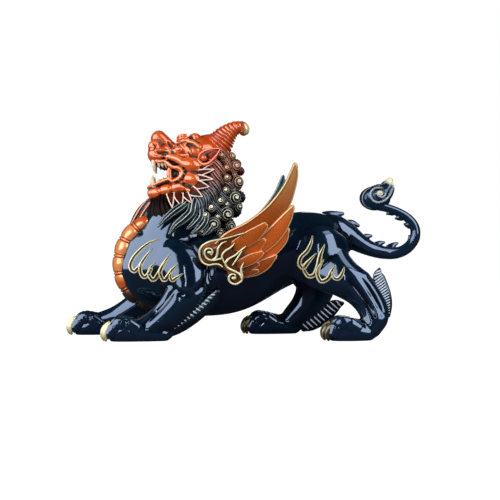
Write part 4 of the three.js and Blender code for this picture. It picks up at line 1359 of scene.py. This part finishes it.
def whisker_fringe():
    """The zigzag row of pointed whiskers round cheek and jaw, each rimmed in pale gilt."""
    parts = []
    for facing in (NEAR, FAR):
        for index, tip in enumerate(FRINGE_TIPS):
            first, second = np.array(FRINGE_NOTCHES[index]), np.array(FRINGE_NOTCHES[index + 1])
            middle = (first + second) / 2
            half = np.linalg.norm(second - first) / 2
            foot = middle + 0.35 * (middle - np.array(tip))
            deep = FRINGE_DEPTHS[index]
            rows = [
                [foot[0], facing * (deep - 2.4), foot[1], 1.0, half * 1.2],
                [middle[0], facing * deep, middle[1], 1.1, half * 1.0],
                [0.45 * middle[0] + 0.55 * tip[0], facing * (deep + 1.6), 0.45 * middle[1] + 0.55 * tip[1],
                 1.0, half * 0.6],
                [tip[0], facing * (deep + 2.6), tip[1], 0.5, 0.4],
            ]
            parts.append(form(rows, around=32, rings=20, section=feathered(0.85, 0.4), caps=2))
    return finished(joined("whisker_fringe", parts), FRINGE_LACQUER)


# Each lock of the beard: how far out from the middle it hangs, and its rows [x, z, half width, half depth]
BEARD = [
    (0, [[-78, 115, 3.6, 3], [-85, 107, 4.2, 4], [-91, 99, 3.2, 3.4], [-97, 91.5, 1.0, 0.9]]),
    (3.8, [[-75, 113, 3.2, 3], [-82.4, 103.6, 3.8, 3.9], [-88.4, 96, 2.8, 3], [-93.6, 91, 0.9, 0.9]]),
    (6.6, [[-71, 113.5, 2.6, 3], [-76, 105, 3, 3.6], [-82.4, 98, 2, 2.2], [-86.4, 94, 0.7, 0.7]]),
]


def beard():
    """The curled beard under the chin, its locks drifting apart towards their tips."""
    parts = []
    for out, rows in BEARD:
        for place in (out, -out) if out else (out,):
            spread = [[x, place * (1 + 0.1 * i), z, wide, deep] for i, (x, z, wide, deep) in enumerate(rows)]
            parts.append(form(spread, around=36, rings=26, section=strands(6, 0.24, 0.8)))
    return finished(joined("beard", parts), BEARD_LACQUER)


curls()
locks()
mane_bed()
whisker_fringe()
beard()


# The wings

# Each feather: its layer, how warm its orange is, and its rows [x, z, half width]
FEATHERS = [
    (0, 0.0, [[-28, 71, 4], [-14, 79, 8.6], [3, 86.5, 9.8], [18, 99, 8.6], [27, 111, 7.2], [32.6, 123, 5.2],
              [35.2, 132, 3.8], [36.2, 138, 2.3]]),
    (1, 0.85, [[-6, 66, 5], [10, 75.5, 6.8], [22, 86.5, 6.8], [30, 97.5, 4.8], [34.6, 105.6, 2.2]]),
    (0, 1.0, [[-4, 60, 5], [10, 67, 6.4], [20, 74, 6.2], [27.5, 81.5, 4.6], [31.2, 88, 2.2]]),
    (1, 0.3, [[-6, 54, 5], [6, 57, 5.4], [14, 61.5, 5], [21, 67, 2.4]]),
]
COVERTS = [
    (2, 0.1, [[-21, 77, 4], [-12, 79.6, 4.8], [-4, 83.6, 2.6]]),
    (3, 0.45, [[-10, 76, 5], [3, 83.4, 6], [12.6, 91.4, 3.2]]),
    (2, 0.6, [[-6, 66.6, 4.6], [4, 73.4, 5.4], [11.6, 79.6, 2.8]]),
    (3, 0.7, [[-6, 61.6, 4], [3, 65.6, 4.6], [9.8, 69.6, 2.5]]),
    (2, 0.2, [[-6, 57.4, 3], [1, 59.6, 3.4], [6.8, 61, 2.3]]),
    (2, 0.2, [[-6, 53.4, 2.6], [1, 54.6, 3.0], [6.4, 55.6, 2.2]]),
]
# The raised lines at the wing's shoulder, in the same rows
LICKS = [
    [[-27.3, 64.4, 0.8], [-24.1, 65.4, 1.2], [-21.2, 66.2, 1.3], [-20.4, 69.4, 1.3], [-18, 72.1, 1.3],
     [-14.8, 74.1, 1.2], [-12.4, 76.2, 0.9], [-11.1, 78.2, 0.4]],
    [[-18.6, 62.4, 0.8], [-19.8, 64.6, 1.0], [-20.6, 67, 0.8]],
    [[-17.6, 62.8, 0.7], [-14.4, 66.4, 1.1], [-10.6, 68.4, 1.2], [-7, 71.6, 1.1], [-4.6, 73.6, 0.9],
     [-2.1, 75.6, 0.4]],
    [[-12.6, 60.6, 0.6], [-10.4, 63.6, 1.0], [-7.9, 67.4, 1.1], [-5.4, 71.4, 0.8]],
    [[-4.5, 49.7, 0.8], [-4.5, 52.5, 1.3], [-5.4, 55.7, 1.4], [-5.1, 59.4, 1.2], [-3.7, 62.6, 0.4]],
]
OUTER_SCROLL = [
    [-4, 86, 0.6], [-16, 82.4, 0.8], [-26, 80.4, 0.9], [-31.3, 79, 1.1], [-36.2, 76, 1.2], [-38.4, 71.9, 1.2],
    [-38, 67, 1.2], [-35.6, 62.8, 1.2], [-31.3, 60.9, 1.2], [-26.5, 61.6, 1.2], [-22.8, 61.2, 1.1],
    [-20.2, 59.4, 0.5],
]
SHOULDER_COIL = [
    [-30.6, 70.6, 1.3], [-29.1, 69.2, 0.9], [-28.1, 71.2, 1.0], [-29.4, 73.6, 1.1], [-32, 74, 1.2],
    [-34.1, 72.4, 1.2], [-34.4, 69.4, 1.2], [-32.4, 66.0, 1.2], [-28.9, 64.8, 1.2], [-25.6, 66.8, 1.3],
    [-24.4, 70.3, 1.4], [-24, 73.6, 1.3], [-22.2, 76.5, 1.1], [-20.2, 78.4, 0.9], [-17.4, 79.6, 0.4],
]
LOWER_CURVE = [
    [-9.5, 69.6, 0.5], [-13.2, 67, 1.0], [-16.4, 65.2, 1.2], [-17.8, 62.6, 1.3], [-17, 59.7, 1.4],
    [-14.4, 57.6, 1.4], [-10.7, 55.9, 1.4], [-7.1, 53.9, 1.4], [-5.3, 51.5, 1.4], [-4.9, 48.7, 1.3],
    [-7.9, 46.2, 1.3], [-11.1, 45.6, 1.3], [-14.4, 47.6, 1.3], [-15.2, 50.9, 1.2], [-13.2, 53.5, 1.1],
    [-10.3, 53.1, 1.0], [-9.9, 50.9, 0.9],
]


def on_wing(facing, lift, rows, thick, **options):
    """A form in the wing's leaning plane, `lift` layers up, along rows [x, z, half width]."""
    lain = [[x, facing * (WING_FOOT + WING_LEAN * (z - WING_BASE) + lift * LAYER), z, thick, half]
            for x, z, half in rows]
    return form(lain, side=(0.0, 1.0, -WING_LEAN * facing), **options)


def blades(facing, table, thick, rim, crown, **options):
    """A wing's feathers or coverts, each with its warmth of colour."""
    for lift, warmth, rows in table:
        blade = on_wing(facing, lift, rows, thick, section=feathered(rim, crown), caps=6, **options)
        mark(blade, "warmth", np.full(len(blade.data.vertices), warmth))
        yield blade


def wing(facing):
    """A wing on one flank: long feathers, coverts over them, and the gilt scrolls and flames at the
    shoulder."""
    name = "near_wing" if facing == NEAR else "far_wing"
    feathers = [*blades(facing, FEATHERS, 2.4, 1.3, 0.78, around=56, rings=42, tip=1.2)]
    coverts = [*blades(facing, COVERTS, 1.9, 0.9, 0.7, around=44, rings=28, tip=1.5)]
    piece = joined(name, feathers + coverts)
    mark_relief(piece, 12, 0.3)
    finished(piece, [WING, LINING])
    inner = np.array([polygon.normal.y * facing < -0.02 for polygon in piece.data.polygons])
    piece.data.polygons.foreach_set("material_index", inner.astype(np.int32))

    parts = []
    for rows in LICKS + [OUTER_SCROLL, SHOULDER_COIL, LOWER_CURVE]:
        slim = [[x, z, 0.15 + 0.72 * half] for x, z, half in rows]
        parts.append(on_wing(facing, 3.6, slim, 2.2, around=20, rings=9 * len(rows), section=crested))
    # The round heart of each coil
    for x, z, size in ((-30.6, 70.9, 1.4), (-11.2, 50.4, 1.6)):
        parts.append(on_wing(facing, 4, [[x - 0.4, z, size], [x + 0.4, z, size]], 2.4, around=24, rings=6,
                             caps=6,
                             tip=1.0, section=crested))
    finished(joined(name + "_scrolls", parts), GILT)

    bed = [[-34, 70, 5], [-28, 69, 8.6], [-18, 68, 10.6], [-8, 64, 12], [0, 64, 13], [5, 66, 8]]
    heel = [[-12, 56, 5], [-9, 50.5, 6.4], [-8, 47.4, 3.4]]
    root = clay(name + "_root", [
        egg((-20, facing * 25, 68), (17, 7.5, 13), 0, 32), egg((0, facing * 24.5, 66), (16, 6.5, 13), 0, 32),
        egg((-30, facing * 26, 68), (8, 5.5, 10), 0, 32),
        on_wing(facing, 1.6, bed, 3.2, around=48, rings=40, caps=6),
        on_wing(facing, 1.8, heel, 2.6, around=32, rings=20, caps=6),
    ], WING_ROOT_GRAIN, 4)
    mark_relief(root, 10, 0.2)
    finished(root, WING_ROOT)


wing(NEAR)
wing(FAR)


# Flames, fins and tail

# Each flame is a line of rows [x, z, half width] on the flank
SHOULDER_FLAMES = [
    [[-71, 81.4, 0.4], [-78, 78.6, 1.1], [-84, 74.4, 1.5], [-91.2, 66.9, 1.7], [-94.2, 59.7, 1.8],
     [-91.4, 55.2, 1.8], [-87.4, 58.4, 1.6], [-85.6, 61.6, 1.2]],
    [[-76.4, 73.6, 0.4], [-81, 67.6, 1.3], [-85.4, 60.5, 1.6], [-85.6, 54.1, 1.7], [-82.6, 50.7, 1.8],
     [-79, 53.6, 1.6], [-76.8, 57.6, 1.2]],
    [[-73.6, 62.6, 0.4], [-77.6, 58, 1.3], [-78.9, 53, 1.7], [-75.6, 48.4, 1.8], [-71.6, 52.6, 1.9],
     [-67, 60.6, 1.8], [-61.9, 69.4, 0.4]],
    [[-64.2, 64, 0.4], [-68, 59, 1.3], [-69.6, 54, 1.7], [-66.6, 48.4, 1.8], [-63, 52, 1.9], [-60, 56.4, 1.6],
     [-55.6, 61.4, 0.4]],
    [[-60, 55.4, 0.5], [-61.6, 51.6, 1.3], [-60, 48.2, 1.5], [-56.8, 50.2, 1.5], [-51.4, 53.8, 0.4]],
]
THIGH_FLAMES = [
    [[52.9, 84, 0.4], [51.4, 77.6, 1.4], [48.4, 71.6, 1.7], [43.6, 66.6, 1.7], [42.4, 61, 1.8],
     [45.6, 57.8, 1.7], [48.4, 61.6, 1.8], [55.6, 70, 0.4]],
    [[45.4, 61.4, 0.5], [46.4, 55.8, 1.4], [50, 51.2, 1.8], [54.4, 52.6, 1.9], [57.2, 60, 2.0],
     [58.8, 68, 1.8], [62.4, 77, 0.4]],
    [[61.6, 64.6, 0.4], [58.4, 59.6, 1.4], [56.6, 53.2, 1.7], [59.6, 47.2, 1.8], [64.8, 49.6, 1.8],
     [67.4, 55, 1.6], [70.6, 60.6, 0.4]],
    [[67.4, 55.2, 0.5], [69.2, 50.4, 1.3], [72.6, 49.4, 1.6], [75.6, 53.4, 1.5], [77.6, 58.8, 0.4]],
]


def flames(facing):
    """The gilt flame lines laid on a shoulder and a thigh."""
    parts = []
    for rows in SHOULDER_FLAMES + THIGH_FLAMES:
        track = []
        for x, z, half in smooth_rows([[x, 0, z, half] for x, z, half in rows], 3 * len(rows))[:, [0, 2, 3]]:
            track.append(laid(x, z, facing, 0.3) + [1.7 * min(1, 0.5 + half / 2), half * 1.05])
        parts.append(form(track, around=22, rings=8 * len(rows), section=double_ridge))
    piece = joined("near_flames" if facing == NEAR else "far_flames", parts)
    return finished(piece, GILT)


flames(NEAR)
flames(FAR)

# Each fin: its name, how far across it stands, its ribs, its rows [x, z, half width] down the leg, and how
# far across it the ribs reach
FINS = [
    ("near_fore_fin", -31, 14, [
        [-23.6, 39.6, 2.2], [-27.4, 33.6, 4.4], [-35.4, 24.8, 4.8], [-46, 16.4, 5.0], [-57, 9.2, 4.4],
        [-66, 4.2, 2.2],
    ], 0.35),
    ("far_fore_fin", 28.5, 12, [[-58, 38, 3], [-70, 24, 7], [-90, 12, 7], [-106, 4.5, 4]], 0.8),
    ("near_hind_fin", -31.5, 17, [
        [106.8, 57.6, 0.9], [105.8, 52.6, 4.2], [107.6, 46, 5.4], [110.4, 36, 6.0], [111.8, 27, 5.4],
        [112.6, 18.6, 3.0],
    ], 0.85),
    ("far_hind_fin", 26, 9, [
        [86.6, 26.4, 1.6], [79.6, 24, 5.6], [69, 16.4, 8.0], [58, 9, 7.0], [50, 4.4, 3.4],
    ], 0.85),
]


def fin(name, y, ribs, rows, reach):
    """A fin down the back of a leg: a thin web and the ribs that stiffen it, which run from the root to
    `reach` of the way across and carry a painted highlight along their crests."""
    parts = [form([[x, y, z, 1.5, half] for x, z, half in rows], around=24, rings=60, caps=2)]
    spine = smooth_rows([[x, y, z, half] for x, z, half in rows], 4 * ribs + 9)
    run = np.gradient(spine[:, [0, 2]], axis=0)
    run /= np.linalg.norm(run, axis=1)[:, None]
    for i in range(4, 4 * ribs + 5, 4):
        x, _, z, half = spine[i]
        along, out = run[i], np.array([-run[i][1], run[i][0]])
        span = half * 1.7
        foot = np.array([x, z]) - out * half * 0.85 + along * 1.6
        middle = foot + out * span * 0.5 * reach - along * 1.4 * reach
        point = foot + out * span * reach - along * 3.0 * reach
        rib = [[foot[0], y, foot[1], 3.0, 0.8], [middle[0], y, middle[1], 2.9, 0.9],
               [point[0], y, point[1], 2.1, 0.6]]
        parts.append(form(rib, around=20, rings=14, caps=3, section=crested))
    piece = joined(name, parts)
    flat_soles(piece)
    return finished(piece, FIN)


for settings in FINS:
    fin(*settings)

# Each spike: its foot, its bend and its point in side view, and its size
TAIL_SPIKES = [
    ([67, 99.6], [75.5, 102.4], [82.4, 103.4], 4.6), ([83, 93], [90.6, 94.8], [95.6, 93.2], 4.4),
    ([97, 81.2], [103, 84.0], [106.6, 84.8], 3.6), ([109, 75.2], [114.2, 78.4], [117.6, 79.2], 3.2),
    ([121.6, 73.6], [126.0, 77.2], [129, 78.6], 3.0), ([140.6, 79.4], [139.6, 82.6], [138.8, 85], 2.8),
    ([139.4, 94], [136.4, 94.2], [134.6, 94.8], 2.8), ([132, 100.8], [129, 99.8], [127, 99.4], 2.8),
    ([124.4, 105.2], [121.6, 104], [119.6, 103.2], 2.8),
]


def tail_spikes():
    """The wave-like spikes along the inner side of the tail, each a long ramp to a blunt hooked point."""
    parts = []
    for foot, bend, point, size in TAIL_SPIKES:
        rows = [
            [foot[0], 0, foot[1], size * 0.8, size * 1.25],
            [0.45 * foot[0] + 0.55 * bend[0], 0, 0.45 * foot[1] + 0.55 * bend[1], size * 0.72, size * 1.1],
            [bend[0], 0, bend[1], size * 0.55, size * 0.76], [point[0], 0, point[1], size * 0.3, size * 0.32],
        ]
        parts.append(form(rows, around=20, rings=18, caps=5))
    piece = joined("tail_spikes", parts)
    mark_relief(piece, 6, 0.2)
    return finished(piece, NAVY)


def tail_tuft():
    """The rolled scroll at the tail's end: a round body drawn out to a flame tip, with a ridge winding into
    it."""
    lumps = [
        egg((109.6, 0, 116.4), (13.4, 5.8, 10.4), 0, 56),
        form([[109, 0, 119.6, 4.8, 7.8], [115.4, 0, 120.8, 4.8, 8.8], [119.4, 0, 124.6, 4.4, 7.4],
              [121.2, 0, 128.8, 3.6, 5.2], [122.6, 0, 132.6, 2.2, 2.6]], around=40, rings=40),
        form([[112, 0, 112, 4.8, 6], [117, 0, 110, 3.4, 4]], around=28, rings=10),
    ]
    piece = clay("tail_tuft", lumps, TUFT_GRAIN, 4)
    coil = [
        (124.0, 130.6), (123.6, 124.6), (121.2, 118.8), (116.6, 114.4), (110.8, 112.8), (106.2, 114.8),
        (104.6, 119.2), (106.6, 123.4), (111.4, 125.2), (116, 123.8), (117.6, 120.2), (115, 117.4),
        (111.4, 117.6), (109.6, 120),
    ]
    outer = [(118.4, 129.6), (112.4, 127.4), (105, 125.4), (100, 121), (98.4, 115.2), (100.6, 110),
             (105.4, 107)]

    def on_flank(x, z, facing):
        bulge = math.sqrt(max(0.3, 1 - ((x - 109.6) / 13.4) ** 2 - ((z - 116.6) / 10.6) ** 2))
        return [x, facing * 5.8 * bulge, z]

    for facing in (NEAR, FAR):
        ridge = [on_flank(x, z, facing) + [0.9, 1.2] for x, z in coil]
        inner = [on_flank(x + (112 - x) * 0.18, z + (119.6 - z) * 0.18, facing) + [1.0, -1.1] for x,
                 z in coil[1:-4]]
        rim = [on_flank(x, z, facing) + [0.9, 0.9] for x, z in outer]
        leaf = [on_flank(112, 120.2, facing) + [1.2, 0.9], on_flank(114, 121.4, facing) + [1.2, 0.9]]
        carve(piece, [inner])
        carve(piece, [ridge, rim, leaf])
    mark_relief(piece, 8, 0.35)
    points = points_of(piece) / MM
    x, z = points[:, 0] - SHIFT, points[:, 2]
    tip = np.clip((z - 127.0 + 0.6 * (x - 120)) / 5, 0, 1)
    heart = np.exp(-(((x - 112.8) / 2.8) ** 2 + ((z - 120.6) / 2.2) ** 2) ** 2)
    mark(piece, "gilt", np.maximum(tip, heart))
    return finished(piece, TUFT)


tail_spikes()
tail_tuft()


# Floor, light and camera

# The sweep in metres: its floor, how far back it is set, where its far edge begins, its wall and its curve
FLOOR_SIZE = 6.0
FLOOR_SHIFT = 0.6
FAR_EDGE = 2.9
WALL_HEIGHT = 3.5
SWEEP_RADIUS = 1.2


def floor():
    """A plain pale sweep: the flat floor, and the wall that it curves up into far behind."""
    nothing_selected()
    bpy.ops.mesh.primitive_plane_add(size=FLOOR_SIZE, location=(0, FLOOR_SHIFT, 0))
    piece = named(bpy.context.object, "floor")

    def pick(wanted):
        bpy.ops.object.mode_set(mode="OBJECT")
        for edge in piece.data.edges:
            edge.select = all(wanted(piece.data.vertices[index].co) for index in edge.vertices)
        bpy.ops.object.mode_set(mode="EDIT")

    bpy.ops.object.mode_set(mode="EDIT")
    bpy.ops.mesh.select_mode(type="EDGE")
    bpy.ops.mesh.select_all(action="DESELECT")
    pick(lambda end: end.y > FAR_EDGE)
    bpy.ops.mesh.extrude_region_move(TRANSFORM_OT_translate={"value": (0, 0, WALL_HEIGHT)})
    pick(lambda end: end.y > FAR_EDGE and end.z < 0.1)
    bpy.ops.mesh.bevel(offset=SWEEP_RADIUS, offset_type="OFFSET", segments=24, affect="EDGES")
    bpy.ops.object.mode_set(mode="OBJECT")
    chosen_alone(piece)
    bpy.ops.object.shade_smooth()
    bpy.ops.object.transform_apply(location=True, rotation=True, scale=True)
    piece.data.materials.append(pale_sweep())


def mixed_shader(tree, factor, first, second):
    """Two shaders mixed by a factor socket."""
    mix = tree.nodes.new("ShaderNodeMixShader")
    tree.links.new(factor, mix.inputs["Fac"])
    tree.links.new(first, mix.inputs[1])
    tree.links.new(second, mix.inputs[2])
    return mix.outputs["Shader"]


def pale_sweep():
    """Plain pale paper, bright to the eye and dark in the lacquer's reflections, as under black flags."""
    material, tree, shader = new_material("pale_sweep")
    dress(shader, Base_Color=(0.22, 0.22, 0.22, 1), Roughness=0.9, Specular_IOR_Level=0.0,
          Emission_Color=(1.0, 1.0, 1.0, 1), Emission_Strength=0.96)
    flag = tree.nodes.new("ShaderNodeBsdfDiffuse")
    dress(flag, Color=(0.06, 0.06, 0.07, 1))
    rays = tree.nodes.new("ShaderNodeLightPath")
    surface = mixed_shader(tree, rays.outputs["Is Camera Ray"], flag.outputs["BSDF"], shader.outputs["BSDF"])
    tree.links.new(surface, tree.nodes["Material Output"].inputs["Surface"])
    return material


# Colours and the aim of the lights
COOL = (0.95, 0.97, 1.0)
WHITE = (1.0, 1.0, 1.0)
MIDDLE = (0, 0, 0.08)
# Each softbox: its name, place, aim, width, height, power in watts and colour
SOFTBOXES = [
    ("key", (-0.88, -0.58, 0.52), (0, 0, 0.30), 1.5, 1.0, 17.6, COOL),
    ("fill", (0.80, -0.82, 0.58), MIDDLE, 0.66, 1.0, 8.6, COOL),
    ("overhead", (0.46, -0.50, 1.0), MIDDLE, 0.5, 0.26, 1.0, COOL),
    ("spark", (-0.12, -1.2, 0.34), MIDDLE, 0.04, 0.45, 0.6, WHITE),
    ("back", (0.62, 1.15, 0.42), MIDDLE, 0.9, 0.8, 4.2, WHITE),
]


def softbox(name, place, aim, width, height, power, colour):
    """A rectangular soft light aimed at a point."""
    bpy.ops.object.light_add(type="AREA", location=place)
    light = bpy.context.object
    light.name = name
    light.data.shape = "RECTANGLE"
    light.data.size = width
    light.data.size_y = height
    light.data.energy = power
    light.data.color = colour
    light.rotation_euler = (Vector(aim) - Vector(place)).to_track_quat("-Z", "Y").to_euler()


def studio():
    """A white backdrop to the eye, faint light on matt skins, and near darkness in the lacquer's
    reflections."""
    world = bpy.data.worlds.new("studio")
    bpy.context.scene.world = world
    world.use_nodes = True
    tree = world.node_tree
    seen = tree.nodes["Background"]
    lit = tree.nodes.new("ShaderNodeBackground")
    dark = tree.nodes.new("ShaderNodeBackground")
    dress(seen, Color=(1.0, 1.0, 1.0, 1), Strength=1.0)
    dress(lit, Color=(1.0, 0.98, 0.96, 1), Strength=0.22)
    dress(dark, Color=(0.5, 0.7, 1.0, 1), Strength=0.03)
    rays = tree.nodes.new("ShaderNodeLightPath").outputs
    soft = mixed_shader(tree, rays["Is Diffuse Ray"], dark.outputs["Background"], lit.outputs["Background"])
    final = mixed_shader(tree, rays["Is Camera Ray"], soft, seen.outputs["Background"])
    tree.links.new(final, tree.nodes["World Output"].inputs["Surface"])
    bpy.context.scene.view_settings.view_transform = "Standard"


# The camera's place and aim in drawn millimetres, and its lens and sensor
CAMERA_PLACE = (-33.6, -700.0, 68.5)
CAMERA_AIM = (3.6, 0.0, 72.66)
FOCAL_LENGTH = 60.096
SENSOR_WIDTH = 36.0


def camera():
    """The photograph's view: nearly square on to the near flank, just above a third of its height."""
    place, aim = (Vector(point) for point in placed([CAMERA_PLACE, CAMERA_AIM]))
    bpy.ops.object.camera_add(location=place)
    view = bpy.context.object
    view.rotation_euler = (aim - place).to_track_quat("-Z", "Y").to_euler()
    view.data.lens = FOCAL_LENGTH
    view.data.sensor_width = SENSOR_WIDTH
    view.data.clip_start = 0.01
    bpy.context.scene.camera = view


floor()
for settings in SOFTBOXES:
    softbox(*settings)
studio()
camera()
